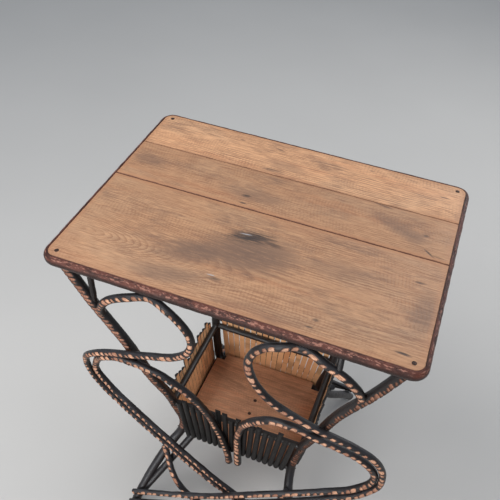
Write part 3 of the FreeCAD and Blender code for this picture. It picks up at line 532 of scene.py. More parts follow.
def split_twig_tree():
    """Half-round strips along the edges of a mesh, flat side away from the kept outward direction."""
    tree, given = group("Split Twig", "GeometryNodeTree", {
        "Geometry": "Geometry", "Width": 0.013, "Thickness": 0.0065, "Ring Step": 0.004, "Sides": 12,
        "Lump Height": 0.0006, "Tip Width": 1.0, "Seed": 1, "Bark": "Material"}, {"Geometry": "Geometry"})
    line = take(tree, "GeometryNodeMeshToCurve", {"Mesh": given["Geometry"]})
    line = take(tree, "GeometryNodeResampleCurve", {"Curve": line, "Length": given["Ring Step"]},
                mode="LENGTH")
    facing = carried(tree, "outward", "FLOAT_VECTOR")
    line = take(tree, "GeometryNodeSetCurveNormal", {"Curve": line, "Normal": facing}, mode="FREE")
    share_along = take(tree, "GeometryNodeSplineParameter", output="Factor")
    width = ramp(share_along, 0.55, 1.0, 1.0, given["Tip Width"])
    line = take(tree, "GeometryNodeSetCurveRadius", {"Curve": line, "Radius": width})
    line = labelled(line, along=take(tree, "GeometryNodeSplineParameter", output="Length"),
                    middle=take(tree, "GeometryNodeInputPosition"))
    half = take(tree, "GeometryNodeCurveArc", {"Resolution": given["Sides"], "Radius": 1.0,
                                               "Start Angle": -math.pi / 2, "Sweep Angle": math.pi})
    half = take(tree, "GeometryNodeSetSplineCyclic", {"Geometry": half, "Cyclic": True})
    half = take(tree, "GeometryNodeTransform",
                {"Geometry": half, "Scale": packed(given["Thickness"], given["Width"] * 0.5, 1.0)})
    strip = take(tree, "GeometryNodeCurveToMesh",
                 {"Curve": line, "Profile Curve": half, "Fill Caps": True, "Scale": width})

    place = take(tree, "GeometryNodeInputPosition")
    arm = place - carried(tree, "middle", "FLOAT_VECTOR")
    rise = arm.dot(facing)
    shifted = drawn_from(place, given["Seed"], (0.41, 0.67, 0.29))
    lump = (speckle(shifted, STRIP_LUMP_FINENESS, 3.0) - 0.5) * (given["Lump Height"] * 2.0)
    offset = arm.unit() * (lump * ramp(rise, 0.0, 0.002))
    split = ramp(take(tree, "GeometryNodeInputNormal").dot(facing), -0.4, -0.7)
    own_seed = carried(tree, "strip") + given["Seed"]
    bark = drawn_from(packed(rise, arm.length(), carried(tree, "along")), own_seed, (0.013, 0.029, 0.171))
    strip = labelled(labelled(strip, "FACE", split=split), bark=bark)
    strip = take(tree, "GeometryNodeSetPosition", {"Geometry": strip, "Offset": offset})
    end_tree(strip, given["Bark"])


def nail_head_tree():
    """Hammered, slightly domed nail heads on the points of a mesh."""
    tree, given = group("Nail Heads", "GeometryNodeTree", {
        "Geometry": "Geometry", "Width": 0.008, "Dome": 0.0011, "Seed": 1, "Iron": "Material"},
        {"Geometry": "Geometry"})
    head = take(tree, "GeometryNodeMeshUVSphere",
                {"Segments": 20, "Rings": 12, "Radius": given["Width"] * 0.5})
    head = take(tree, "GeometryNodeTransform",
                {"Geometry": head, "Scale": packed(1.0, 0.94, given["Dome"] / given["Width"])})
    turn = take(tree, "FunctionNodeRandomValue", {0: (-0.06, -0.06, 0.0), 1: (0.06, 0.06, math.tau),
                                                  "Seed": given["Seed"]}, data_type="FLOAT_VECTOR")
    heads = take(tree, "GeometryNodeInstanceOnPoints",
                 {"Points": given["Geometry"], "Instance": head, "Rotation": turn})
    heads = take(tree, "GeometryNodeRealizeInstances", {"Geometry": heads})
    dent = speckle(take(tree, "GeometryNodeInputPosition"), NAIL_DENT_FINENESS, 2.0) - 0.5
    heads = take(tree, "GeometryNodeSetPosition",
                 {"Geometry": heads, "Offset": take(tree, "GeometryNodeInputNormal") * (dent * NAIL_DENT)})
    heads = take(tree, "GeometryNodeSetShadeSmooth", {"Geometry": heads})
    end_tree(heads, given["Iron"])


# Shader node groups
def bark_group():
    """Lengthwise streaks, fine cracks and lenticels of bark."""
    tree, given = group("Bark Relief", "ShaderNodeTree", {"Place": "Vector", "Fineness": 1.0},
                        dict.fromkeys(("Streak", "Blotch", "Height"), "Float"))
    place = given["Place"] * given["Fineness"]
    streak = speckle(place, (900.0, 900.0, 60.0), 5.0, 0.62)
    blotch = speckle(place, (130.0, 130.0, 34.0))
    pore = take(tree, "ShaderNodeTexVoronoi", {"Vector": place * (420.0, 420.0, 150.0), "Scale": 1.0,
                                               "Randomness": 1.0}, "Distance")
    height = streak + blotch * 0.8 - ramp(pore, 0.10, 0.24, 1.0, 0.0) * 0.25
    put(tree, "NodeGroupOutput", {"Streak": streak, "Blotch": blotch, "Height": height})


def grain_group():
    """Flat-sawn grain along X: year rings that arch at one end, fibres, ticks, warm streaks and clouds."""
    tree, given = group("Wood Grain", "ShaderNodeTree", {
        "Place": "Vector", "Heart Across": 0.0, "Near Depth": 0.02, "Far Depth": 0.05, "Ring Width": 0.006},
        dict.fromkeys(("Ring", "Fibre", "Tick", "Warm", "Cloud", "Height"), "Float"))
    place = given["Place"]
    x, y, _ = place.parts()
    wander = ((speckle(place, (2.6, 9.0, 9.0), 2.0) - 0.5) * 0.030
              + (speckle(place, (11.0, 70.0, 70.0), 2.0) - 0.5) * 0.006)
    across = y - given["Heart Across"] + wander
    depth = ramp(x, -0.36, 0.04, given["Near Depth"], given["Far Depth"])
    year = calc("FRACT", calc("SQRT", across * across + depth * depth) / given["Ring Width"])
    clear = speckle(place, (5.0, 22.0, 22.0), 2.0)
    ring = ramp(year, 0.30, 0.92) * ramp(year, 1.0, 0.94) * ramp(clear, 0.34, 0.62, 0.2, 1.0)
    fibre = speckle(place, (16.0, 620.0, 620.0), 5.0, 0.65)
    tick = ramp(speckle(place, (95.0, 1500.0, 1500.0), 2.0), 0.62, 0.74) * ramp(clear, 0.40, 0.60)
    cloud = speckle(place, (9.0, 21.0, 21.0), 7.0, 0.66)
    put(tree, "NodeGroupOutput", {
        "Ring": ring, "Fibre": fibre, "Tick": tick, "Warm": speckle(place, (3.5, 42.0, 42.0)), "Cloud": cloud,
        "Height": fibre * 0.8 - ring * 0.30 - tick * 0.5})


# Materials
def placed(tree, name, **inputs):
    """Outputs of a shader group put in a material; underscores in names stand for spaces."""
    named = {key.replace("_", " "): value for key, value in inputs.items()}
    made = put(tree, "ShaderNodeGroup", named, node_tree=bpy.data.node_groups[name])
    return {socket.name: Field(socket) for socket in made.outputs}


def new_material(name):
    """Empty material with its Principled shader and output."""
    material = bpy.data.materials.new(name)
    material.use_nodes = True
    tree = material.node_tree
    tree.nodes.clear()
    shader = put(tree, "ShaderNodeBsdfPrincipled")
    put(tree, "ShaderNodeOutputMaterial", {"Surface": Field(shader.outputs[0])})
    return material, tree, shader


def join(shader, **values):
    """Link fields to a shader's sockets, or set them; underscores in names stand for spaces."""
    for name, value in values.items():
        socket = shader.inputs[name.replace("_", " ")]
        if isinstance(value, Field):
            value.tree.links.new(value.socket, socket)
        else:
            socket.default_value = value


def relief(height, strength, distance):
    """Normal of a surface with the given height."""
    return take(height.tree, "ShaderNodeBump", {"Height": height, "Strength": strength, "Distance": distance})


def kept(tree, name, output="Fac"):
    """Value that the mesh carries under a name."""
    return take(tree, "ShaderNodeAttribute", output=output, attribute_name=name, attribute_type="GEOMETRY")


def upward(tree):
    """How far the surface faces up, from minus one to one."""
    return take(tree, "ShaderNodeNewGeometry", output="Normal").parts()[2]


def own_place(tree):
    """Place on the piece, in its object's coordinates."""
    return take(tree, "ShaderNodeTexCoord", output="Object")


def bark_start(name, fineness):
    """New material of a bark: its tree, its shader, the place on the bark and the bark's relief."""
    _, tree, shader = new_material(name)
    place = kept(tree, "bark", "Vector")
    return tree, shader, place, placed(tree, "Bark Relief", Place=place, Fineness=fineness)


def bark_material(name, bark, bloom_and_sheen, chip, chip_dirt_and_shade):
    """Dark twig bark with a painted blue-grey sky sheen on its upward faces, and bare wood in the chips, the
    chips with painted shade towards their shallow edges.
    """
    tree, shader, place, skin = bark_start(name, 1.0)
    depth = kept(tree, "chip")
    dark = blend(ramp(skin["Streak"], 0.35, 0.70, 0.0, 0.6), bark, shade(bark, 0.4))
    # Painted sky sheen: the bloom and sheen colour laid on the faces that turn upward, broken by blotches.
    grey = ramp(upward(tree), 0.1, 0.95) * ramp(skin["Blotch"], 0.30, 0.66, 0.2, 1.0)
    dark = blend(grey * 0.9, dark, bloom_and_sheen)
    rub = ramp(skin["Streak"], 0.60, 0.72) * ramp(skin["Blotch"], 0.5, 0.65)
    dark = blend(rub * 0.5, dark, chip_dirt_and_shade)
    fibre = speckle(place, (1500.0, 1500.0, 120.0), 3.0)
    wood = blend(ramp(fibre, 0.30, 0.62), chip_dirt_and_shade, chip)
    wood = blend(ramp(kept(tree, "tone"), 0.0, 0.7, 0.6, 0.0), wood, chip_dirt_and_shade)
    # Painted shade: each chip darker towards its shallow edges, where the bark's lip shades it.
    wood = blend(ramp(depth, 0.16, 0.62, 0.8, 0.0), wood, shade(chip_dirt_and_shade, 0.7))
    bared = ramp(depth, 0.05, 0.16)
    height = skin["Height"] * ramp(bared, 0.0, 1.0, 1.0, 0.4)
    join(shader, Base_Color=blend(bared, dark, wood), Roughness=ramp(bared, 0.0, 1.0, 0.38, 0.60),
         Normal=relief(height, 0.6, 0.0010), Specular_IOR_Level=0.35)


def rail_material(name, bark, bloom_and_sheen):
    """Smooth bark of a straight rail, with lighter scuffs."""
    _, shader, _, skin = bark_start(name, 0.7)
    base = blend(ramp(skin["Streak"], 0.32, 0.72), bark, shade(bark, 0.5))
    join(shader, Base_Color=blend(ramp(skin["Blotch"], 0.45, 0.75) * 0.6, base, bloom_and_sheen),
         Roughness=ramp(skin["Streak"], 0.2, 0.8, 0.36, 0.52), Normal=relief(skin["Height"], 0.35, 0.0007))


def edging_material(name, bark, fleck_highlight):
    """Glossy red-brown bark of the split edging, with painted shade on its downward faces and pale flecks
    painted as a highlight along its upward-facing ridge.
    """
    tree, shader, place, skin = bark_start(name, 0.8)
    base = blend(ramp(skin["Blotch"], 0.40, 0.60), shade(bark, 0.28), shade(bark, 0.75))
    flake = speckle(place, (420.0, 420.0, 110.0), 5.0, 0.66)
    rise = upward(tree)
    # Painted highlight: pale flecks only on the band of faces that turn partly upward.
    highlight_ridge = ramp(rise, 0.15, 0.50) * ramp(rise, 1.00, 0.80)
    base = blend(ramp(flake, 0.50, 0.60, 0.0, 0.95) * highlight_ridge, base, fleck_highlight)
    # Painted shade: faces that turn downward darkened nearly to black.
    base = blend(ramp(rise, -0.15, 0.42, 0.92, 0.0), base, shade(bark, 0.10))
    base = blend(ramp(skin["Streak"], 0.58, 0.74, 0.0, 0.7), base, shade(bark, 0.25))
    join(shader, Base_Color=base, Roughness=ramp(skin["Streak"], 0.25, 0.75, 0.26, 0.50),
         Normal=relief(skin["Height"] + flake, 0.8, 0.0020), Specular_IOR_Level=0.30)


def picket_material(name, bark, wood):
    """Bark outside and an orange split face inside."""
    tree, shader, place, skin = bark_start(name, 0.8)
    outside = blend(ramp(skin["Streak"], 0.35, 0.7), bark, shade(bark, 1.25))
    splinter = speckle(place, (640.0, 640.0, 20.0), 5.0, 0.6)
    inside = blend(ramp(splinter, 0.32, 0.54), shade(wood, 0.62), wood)
    strip = speckle(place, (60.0, 60.0, 5.0), 1.0)
    inside = blend(ramp(strip, 0.48, 0.66, 0.0, 0.7), inside, shade(wood, 0.80, 0.60, 0.50))
    inside = blend(ramp(skin["Blotch"], 0.58, 0.76, 0.0, 0.7), inside, shade(wood, 0.32))
    join(shader, Base_Color=blend(kept(tree, "split"), outside, inside),
         Roughness=ramp(skin["Streak"], 0.2, 0.8, 0.5, 0.72),
         Normal=relief(skin["Height"] + splinter, 0.6, 0.0010))


def board_tones(tree, shader, wood, warm, grain, grey, heart):
    """Old scrubbed board, with rings, fibres, saw marks and weathering: its place, tone and height."""
    place = own_place(tree)
    across, near, far, width = heart
    lines = placed(tree, "Wood Grain", Place=place, Heart_Across=across, Near_Depth=near, Far_Depth=far,
                   Ring_Width=width)
    tone = blend(ramp(lines["Warm"], 0.48, 0.72, 0.0, 0.8), wood, warm)
    patch = speckle(place, (5.0, 13.0, 5.0), roughness=0.6)
    tone = blend(ramp(patch, 0.47, 0.62, 0.0, 0.75), tone, shade(wood, 1.00, 1.08, 1.15))
    tone = blend(lines["Ring"] * 0.70, tone, grain)
    tone = blend(ramp(lines["Fibre"], 0.46, 0.72, 0.0, 0.70), tone, grain)
    weather = ramp(lines["Cloud"], 0.46, 0.68, 0.0, 0.75) * ramp(lines["Fibre"], 0.36, 0.62, 0.25, 1.0)
    tone = blend(weather, tone, grey)
    tone = blend(lines["Tick"] * 0.75, tone, shade(grain, 0.5))

    x, y, _ = place.parts()
    bend = speckle(place, (5.0, 9.0, 5.0), 2.0)
    stroke = calc("SINE", x * 1000.0 + bend * 45.0 + y * 140.0)
    where = ramp(speckle(place, (8.0, 18.0, 18.0), 3.0), 0.42, 0.60)
    saw = ramp(stroke, -0.2, 0.9) * where * ramp(lines["Fibre"], 0.35, 0.6)
    tone = blend(saw * 0.44, tone, grain)
    scrub = speckle(place, (42.0, 260.0, 42.0), 7.0, 0.72)
    tone = blend(ramp(scrub, 0.50, 0.66, 0.0, 0.55), tone, shade(wood, 1.25))
    tone = blend(ramp(scrub, 0.50, 0.34, 0.0, 0.50), tone, grain)
    join(shader, Roughness=ramp(lines["Fibre"], 0.25, 0.75, 0.50, 0.66))
    return place, tone, lines["Height"] - saw * 0.45


def marked(place, ragged, marks, soft):
    """Mask of a list of marks on the top, each an ellipse with a ragged or a soft edge."""
    mask = None
    for x, y, half_length, half_width, turn, strength in marks:
        local = take(place.tree, "ShaderNodeMapping", {
            "Vector": place, "Location": (x, y, TABLE_HEIGHT), "Rotation": (0.0, 0.0, math.radians(turn)),
            "Scale": (half_length, half_width, 1.0)}, vector_type="TEXTURE")
        spot = ramp(local.length() + ragged, soft, 1.05, strength, 0.0)
        mask = spot if mask is None else calc("MAXIMUM", mask, spot)
    return mask


def top_material(name, tones, lightness, heart, low, high, seams):
    """Top board with its stains, weathered clouds, scars, warm margins and dark seams."""
    material, tree, shader = new_material(name)
    # The lightness scales the wood and warm tones; for the back board it is painted light.
    wood, warm = (shade(tone, lightness) for tone in (tones.top_wood, tones.top_warm))
    place, tone, height = board_tones(tree, shader, wood, warm, tones.top_grain, tones.top_grey, heart)
    streaks = speckle(place, (30.0, 190.0, 30.0), 8.0, 0.75) - 0.5
    for marks, stain, soft in ((GREY_MARKS, tones.top_grey, 0.3), (DARK_MARKS, tones.top_dirt, 0.10),
                               (PALE_MARKS, tones.top_pale, 0.30)):
        near = [mark for mark in marks if low - mark[2] < mark[1] < high + mark[2]]
        if near:
            mask = marked(place, streaks * 1.7, near, soft)
            if marks is GREY_MARKS:
                mask = mask * ramp(streaks, -0.22, 0.10, 0.5, 1.0)
            tone = blend(mask, tone, stain)
            if marks is DARK_MARKS:
                height = height - mask
    x, y, _ = place.parts()
    margins = ((BOARD_END - calc("ABSOLUTE", x), 0.6), (y - low, seams[0]), (high - y, seams[1]))
    for distance, strength in margins:
        margin = distance + streaks * 0.008
        tone = blend(ramp(margin, 0.002, 0.013, strength * 0.8, 0.0), tone, tones.top_warm)
        tone = blend(ramp(margin, 0.0004, 0.0022, strength, 0.0), tone, tones.top_seam)
    join(shader, Base_Color=tone, Normal=relief(height, 0.5, 0.0008))
    return material


def floor_material(name, wood):
    """Brown, worn board of the basket."""
    material, tree, shader = new_material(name)
    _, tone, height = board_tones(tree, shader, wood, shade(wood, 1.0, 0.8, 0.7), shade(wood, 0.58),
                                  shade(wood, 0.55), FLOOR_HEART)
    join(shader, Base_Color=tone, Normal=relief(height, 0.45, 0.0008))
    return material


def iron_material(name, iron, rust):
    """Black nail iron with rust."""
    _, tree, shader = new_material(name)
    place = own_place(tree)
    rusty = ramp(speckle(place, 700.0), 0.42, 0.66)
    join(shader, Base_Color=blend(rusty, iron, rust), Roughness=ramp(rusty, 0.0, 1.0, 0.40, 0.80),
         Metallic=ramp(rusty, 0.0, 1.0, 0.85, 0.15), Normal=relief(speckle(place, 1400.0, 3.0), 0.4, 0.0004))


def stage_material(name, tone):
    """Plain pale floor."""
    material, tree, shader = new_material(name)
    cloud = ramp(speckle(own_place(tree), 1.5, 2.0), 0.2, 0.8, 0.96, 1.0)
    join(shader, Base_Color=blend(1.0, tone, cloud, "MULTIPLY"), Roughness=0.85)
    return material


# Lines of the bent twigs
def bent_line(points):
    """Smooth line through points: place, handle before and handle after of each."""
    chords = [after - before for before, after in zip(points, points[1:])]
    ways = [(before * (after.length / before.length) + after * (before.length / after.length)).normalized()
            for before, after in zip(chords, chords[1:])]
    first = -ways[0].reflect(chords[0].normalized())
    last = -ways[-1].reflect(chords[-1].normalized())
    ways = [first] + ways + [last]
    reaches = [chord.length / 3 for chord in chords]
    return [(point, point - way * before, point + way * after)
            for point, way, before, after in zip(points, ways, reaches[:1] + reaches, reaches + reaches[-1:])]


def sampled(points, count=48):
    """Closely spaced places along a smooth line through points."""
    line = bent_line(points)
    places = []
    for (start, _, leaving), (end, arriving, _) in zip(line, line[1:]):
        places += interpolate_bezier(start, leaving, arriving, end, count)[:-1]
    return places + [line[-1][0]]


def lengthened(points, overhang):
    """Carry a route on past both its ends."""
    before = points[0] + (points[0] - points[1]).normalized() * overhang
    after = points[-1] + (points[-1] - points[-2]).normalized() * overhang
    return [before] + list(points) + [after]


def part_way(start, end, shares):
    """Point at a share of the way from start to end, for each axis."""
    return Vector([low + share * (high - low) for low, high, share in zip(start, end, shares)])


def leg_points(lean):
    """Points of a leg in the quarter with positive X and Y, leaning one way or the other."""
    points = [LEG_TOP] + [part_way(RIM_CORNER, LEG_TOP, shares) for shares in LEG_SHOULDER_SHARES]
    points += [RIM_CORNER, BASE_CORNER]
    points += [part_way(BASE_CORNER, FOOT, shares) for shares in LEG_FOOT_SHARES] + [FOOT]
    return [point + Vector((lean * share * LEG_LEAN, 0, 0)) for point, share in zip(points, LEG_LEAN_SHARES)]


LEG_PLACES = {lean: sampled(lengthened(leg_points(lean), LEG_RUN_ON)) for lean in (1, -1)}


def turned(point, x_sign, y_sign):
    """Point of the first quarter carried to another quarter."""
    return Vector((point.x * x_sign, point.y * y_sign, point.z))


def leg_at(value, lean=1, axis=2):
    """Leg centre and direction where one of its coordinates, by default Z, has a value."""
    for above, below in zip(LEG_PLACES[lean], LEG_PLACES[lean][1:]):
        if above[axis] >= value > below[axis]:
            share = (above[axis] - value) / (above[axis] - below[axis])
            return above.lerp(below, share), (above - below).normalized()
    raise ValueError(f"the leg doesn't reach {value}")


def leg_centre(corner, height):
    """Centre of one corner's leg at a height."""
    x_sign, y_sign = CORNERS[corner]
    return turned(leg_at(height, x_sign * y_sign)[0], x_sign, y_sign)


def sheet_depth(height, sizes):
    """Depth of a scroll that lies in front of the legs."""
    centre, way = leg_at(height)
    standoff = (sizes.leg_diameter + sizes.scroll_diameter) / 2 + SEAT_GAP
    return centre.y + standoff * math.hypot(way.y, way.z) / abs(way.z)


def picket_depth(height, sizes):
    """Depth of a scroll that lies on the pickets of the long sides."""
    lean = Vector((0, RIM_CORNER.y - BASE_CORNER.y, RIM_CORNER.z - BASE_CORNER.z))
    widths = sizes.rail_diameter + sizes.picket_width + sizes.scroll_diameter
    standoff = widths / 2 + 2 * SEAT_GAP + BEND_GAP
    return BASE_CORNER.y + (height - BASE_CORNER.z) / lean.z * lean.y + standoff * lean.length / lean.z


def scroll_point(x_share, place, z_share, sizes):
    """Point of a front scroll's route."""
    x, height = x_share * HALF_LENGTH, z_share * TABLE_HEIGHT
    radius = sizes.scroll_diameter / 2
    if place == LEG:
        return Vector((x_share * leg_at(height, -x_share)[0].x, -sheet_depth(height, sizes), height))
    if place == BUTT:
        return turned(leg_at(height, -x_share)[0], x_share, -1)
    if place == SHEET:
        return Vector((x, -max(sheet_depth(height, sizes), picket_depth(height, sizes)), height))
    if place == PICKETS:
        return Vector((x, -picket_depth(height, sizes), height))
    if place == RAIL:
        touch = sizes.rail_diameter / 2 + radius + BEND_GAP
        return Vector((x, -leg_at(UNDER_RAIL_HEIGHT)[0].y - touch * math.sin(RAIL_TOUCH_ANGLE),
                       UNDER_RAIL_HEIGHT - touch * math.cos(RAIL_TOUCH_ANGLE)))
    if place in (CROSS_BACK, CROSS_FRONT):
        layer = radius + BEND_GAP
        return Vector((x, -CROSSING_DEPTH + (layer if place == CROSS_BACK else -layer), height))
    return Vector((x, -place * HALF_DEPTH, height))


def scroll_route(shares, sizes):
    """Points of a front scroll, each crossing with a leg seated square on that leg."""
    points = [scroll_point(*entry, sizes) for entry in shares]
    standoff = (sizes.leg_diameter + sizes.scroll_diameter) / 2 + SEAT_GAP
    for count, (x_share, place, z_share) in enumerate(shares):
        if place == LEG:
            centre, way = (turned(part, x_share, -1) for part in leg_at(z_share * TABLE_HEIGHT, -x_share))
            along = points[min(count + 1, len(points) - 1)] - points[max(count - 1, 0)]
            square = way.cross(along).normalized()
            points[count] = centre + square * (standoff if square.y < 0 else -standoff)
    longer = lengthened(points, SCROLL_OVERHANG)
    first = 0 if shares[0][1] == LEG else 1
    last = len(longer) if shares[-1][1] == LEG else -1
    return longer[first:last]


def strut_start(across, along, end, sizes):
    """Start of a strut whose flank bears on the bottom rail from inside and below."""
    on_rail = BASE_CORNER - along * STRUT_OFFSET
    standoff = (sizes.rail_diameter + sizes.strut_diameter) / 2 + SEAT_GAP
    start = on_rail
    for _ in range(STRUT_ROUNDS):
        slope = end - start
        inward = (across * slope.z - Vector((0, 0, slope.dot(across)))).normalized()
        start = on_rail + inward * standoff
    return start + (start - end).normalized() * STRUT_RISE


# Making pieces
def linked(name, data):
    """New object in the scene."""
    thing = bpy.data.objects.new(name, data)
    bpy.context.collection.objects.link(thing)
    return thing


def bezier_object(name, points):
    """Curve object through points."""
    data = bpy.data.curves.new(name, "CURVE")
    data.dimensions = "3D"
    data.resolution_u = 24
    spline = data.splines.new("BEZIER")
    spline.bezier_points.add(len(points) - 1)
    for knot, (place, before, after) in zip(spline.bezier_points, bent_line(points)):
        knot.co = place
        knot.handle_left_type = knot.handle_right_type = "FREE"
        knot.handle_left = before
        knot.handle_right = after
    return linked(name, data)


def line_object(name, lines):
    """Mesh object of open lines: each a list of places and one of outward directions."""
    places, edges, outward, numbers = [], [], [], []
    for count, (line, directions) in enumerate(lines):
        edges += [(len(places) + step, len(places) + step + 1) for step in range(len(line) - 1)]
        places += line
        outward += directions
        numbers += [float(count)] * len(line)
    mesh = bpy.data.meshes.new(name)
    mesh.from_pydata(places, edges, [])
    ways = mesh.attributes.new("outward", "FLOAT_VECTOR", "POINT")
    ways.data.foreach_set("vector", [value for direction in outward for value in direction])
    mesh.attributes.new("strip", "FLOAT", "POINT").data.foreach_set("value", numbers)
    return linked(name, mesh)


def settled(name, mesh):
    """Object of a finished mesh, with its faces pointing outwards."""
    shell = bmesh.new()
    shell.from_mesh(mesh)
    if shell.calc_volume(signed=True) < 0:
        bmesh.ops.reverse_faces(shell, faces=shell.faces)
    shell.to_mesh(mesh)
    shell.free()
    mesh.name = name
    return linked(name, mesh)


def grown(source, tree_name, values):
    """Mesh object made from a source by a Geometry Nodes tree; the source is removed."""
    tree = bpy.data.node_groups[tree_name]
    modifier = source.modifiers.new(tree.name, "NODES")
    modifier.node_group = tree
    for item in tree.interface.items_tree:
        if item.in_out == "INPUT" and item.name in values:
            modifier[item.identifier] = values[item.name]
    depsgraph = bpy.context.evaluated_depsgraph_get()
    mesh = bpy.data.meshes.new_from_object(source.evaluated_get(depsgraph), depsgraph=depsgraph)
    name = source.name
    bpy.data.objects.remove(source)
    for extra in ("middle", "way", "outward", "strip", "along", "thickness"):
        if extra in mesh.attributes:
            mesh.attributes.remove(mesh.attributes[extra])
    return settled(name, mesh)


def dressed(piece, node):
    """Let a finished piece stand for a node of the model."""
    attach(piece, "root")
    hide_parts(node)


def twig(node, points, values):
    """One bark twig along points in place of a node."""
    dressed(grown(bezier_object("twig_" + node, points), "Carved Twig", values), node)


def creased(mesh, degrees):
    """Smooth the shading of a mesh but for the edges that turn more than an angle."""
    mesh.shade_smooth()
    mesh.set_sharp_from_angle(angle=math.radians(degrees))


def strips(name, lines, values, node, crease):
    """Half-round split strips along lines in place of a node."""
    piece = grown(line_object(name, lines), "Split Twig", values)
    creased(piece.data, crease)
    dressed(piece, node)


def board_outline(low, high, round_low, round_high):
    """Places round a board, its corners rounded on one long side or on none."""
    corners = ((BOARD_END, low, round_low, -90), (BOARD_END, high, round_high, 0),
               (-BOARD_END, high, round_high, 90), (-BOARD_END, low, round_low, 180))
    places = []
    for x, y, rounded, start in corners:
        if not rounded:
            places.append(Vector((x, y, 0)))
            continue
        centre = Vector((x - math.copysign(BOARD_RADIUS, x), y - math.copysign(BOARD_RADIUS, y), 0))
        for step in range(CORNER_STEPS + 1):
            angle = math.radians(start + 90 / CORNER_STEPS * step)
            places.append(centre + Vector((math.cos(angle), math.sin(angle), 0)) * BOARD_RADIUS)
    return places


def board_object(name, outline, bottom, top, edge):
    """Plank with worn, rounded edges and a slightly uneven outline."""
    places = []
    for start, end in zip(outline, outline[1:] + outline[:1]):
        count = max(1, round((end - start).length / OUTLINE_STEP))
        places += [start.lerp(end, step / count) for step in range(count)]
    shell = bmesh.new()
    face = shell.faces.new([shell.verts.new((*place.xy, bottom)) for place in places])
    raised = bmesh.ops.extrude_face_region(shell, geom=[face])["geom"]
    bmesh.ops.translate(shell, verts=[item for item in raised if isinstance(item, bmesh.types.BMVert)],
                        vec=(0, 0, top - bottom))
    bmesh.ops.recalc_face_normals(shell, faces=shell.faces)
    rims = [item for item in shell.edges
            if abs(item.verts[0].co.z - item.verts[1].co.z) < LEVEL_TOLERANCE]
    bmesh.ops.bevel(shell, geom=rims, offset=edge, segments=3, profile=0.5, affect="EDGES")
    middle = Vector((0, (outline[0].y + outline[-1].y) / 2, 0))
    for vert in shell.verts:
        wear = noise.noise(vert.co * WEAR_FINENESS) * BOARD_WEAR - BOARD_WEAR
        vert.co += (Vector((vert.co.x, vert.co.y, 0)) - middle).normalized() * wear
    mesh = bpy.data.meshes.new(name)
    shell.to_mesh(mesh)
    shell.free()
    creased(mesh, BOARD_CREASE)
    return settled(name, mesh)


def settings():
    """Sizes and colours of the scene."""
    scene = bpy.context.scene
    return scene.twig_table_sizes, scene.twig_table_colours


# Operators
class TWIGTABLE_OT_finishes(bpy.types.Operator):
    """Make the node trees and the materials of the table"""
    bl_idname = "twig_table.finishes"
    bl_label = "Finishes"

    def execute(self, context):
        _, tones = settings()
        carved_twig_tree()
        split_twig_tree()
        nail_head_tree()
        bark_group()
        grain_group()
        for name, bark, chip, chip_dirt_and_shade in (
                ("Carved Bark", tones.bark, tones.chip_wood, tones.chip_dirt_and_shade),
                ("Leg Bark", tones.bark, tones.notch_wood, shade(tones.chip_dirt_and_shade, 0.6)),
                ("Dark Bark", shade(tones.bark, 0.85), tones.chip_wood, tones.chip_dirt_and_shade)):
            bark_material(name, bark, tones.bark_bloom_and_sheen, chip, chip_dirt_and_shade)
        rail_material("Rail Bark", tones.rail, tones.bark_bloom_and_sheen)
        edging_material("Edging Bark", tones.edging, tones.edging_fleck_highlight)
        # The picket bark is the rail bark darkened: painted shade, as the pickets stand in the shade under
        # the top.
        picket_material("Split Twig", shade(tones.rail, 0.38), tones.split_wood)
        iron_material("Nail Iron", tones.iron, tones.rust)
        return {"FINISHED"}


class TWIGTABLE_OT_legs(bpy.types.Operator):
    """Bend the four legs"""
    bl_idname = "twig_table.legs"
    bl_label = "Legs"

    def execute(self, context):
        sizes, _ = settings()
        for seed, (corner, signs) in enumerate(CORNERS.items(), start=LEG_SEED):
            route = lengthened(leg_points(signs[0] * signs[1]), sizes.leg_diameter)
            side_lean = 0.15 if signs[0] == signs[1] else 0.6
            twig(f"leg_{corner}", [turned(point, *signs) for point in route], {
                "Diameter": sizes.leg_diameter, "Ring Step": sizes.ring_step, "Sides": 30,
                "Chip Pitch": sizes.leg_chip_pitch, "Chip Share": sizes.chip_share,
                "Chip Depth": sizes.leg_chip_depth, "Chip Slant": 0.7, "Chips Above": BASE_CORNER.z,
                "Chip Facing": (signs[0] * side_lean, signs[1] * 1.0, 0.1),
                "Low Cut": 0.0, "High Cut": UNDERSIDE,
                "Lump Height": sizes.lump_height, "Seed": seed, "Bark": bpy.data.materials["Leg Bark"]})
        return {"FINISHED"}


class TWIGTABLE_OT_scrolls(bpy.types.Operator):
    """Bend and carve the scrolls, hearts and bows of both long sides"""
    bl_idname = "twig_table.scrolls"
    bl_label = "Scrolls"

    def execute(self, context):
        sizes, _ = settings()
        seed = SCROLL_SEED
        for face, turn in (("front", 1), ("back", -1)):
            for name, (shares, pitch_share, lean_share, butt_share, tip_share) in SCROLLS.items():
                points = [turned(point, turn, turn) for point in scroll_route(shares, sizes)]
                twig(f"{face}_{name}", points, {
                    "Diameter": sizes.scroll_diameter, "Ring Step": sizes.ring_step, "Sides": 26,
                    "Butt Share": butt_share, "Tip Share": tip_share,
                    "Chip Pitch": sizes.chip_pitch * pitch_share, "Chip Share": sizes.chip_share,
                    "Chip Depth": sizes.chip_depth, "Chip Facing": (lean_share * turn, -1.0 * turn, -0.10),
                    "Chip Slant": -0.22 if "left" in name else 0.22, "Lump Height": sizes.lump_height,
                    "Seed": seed, "Bark": bpy.data.materials["Carved Bark"]})
                seed += 1
        return {"FINISHED"}


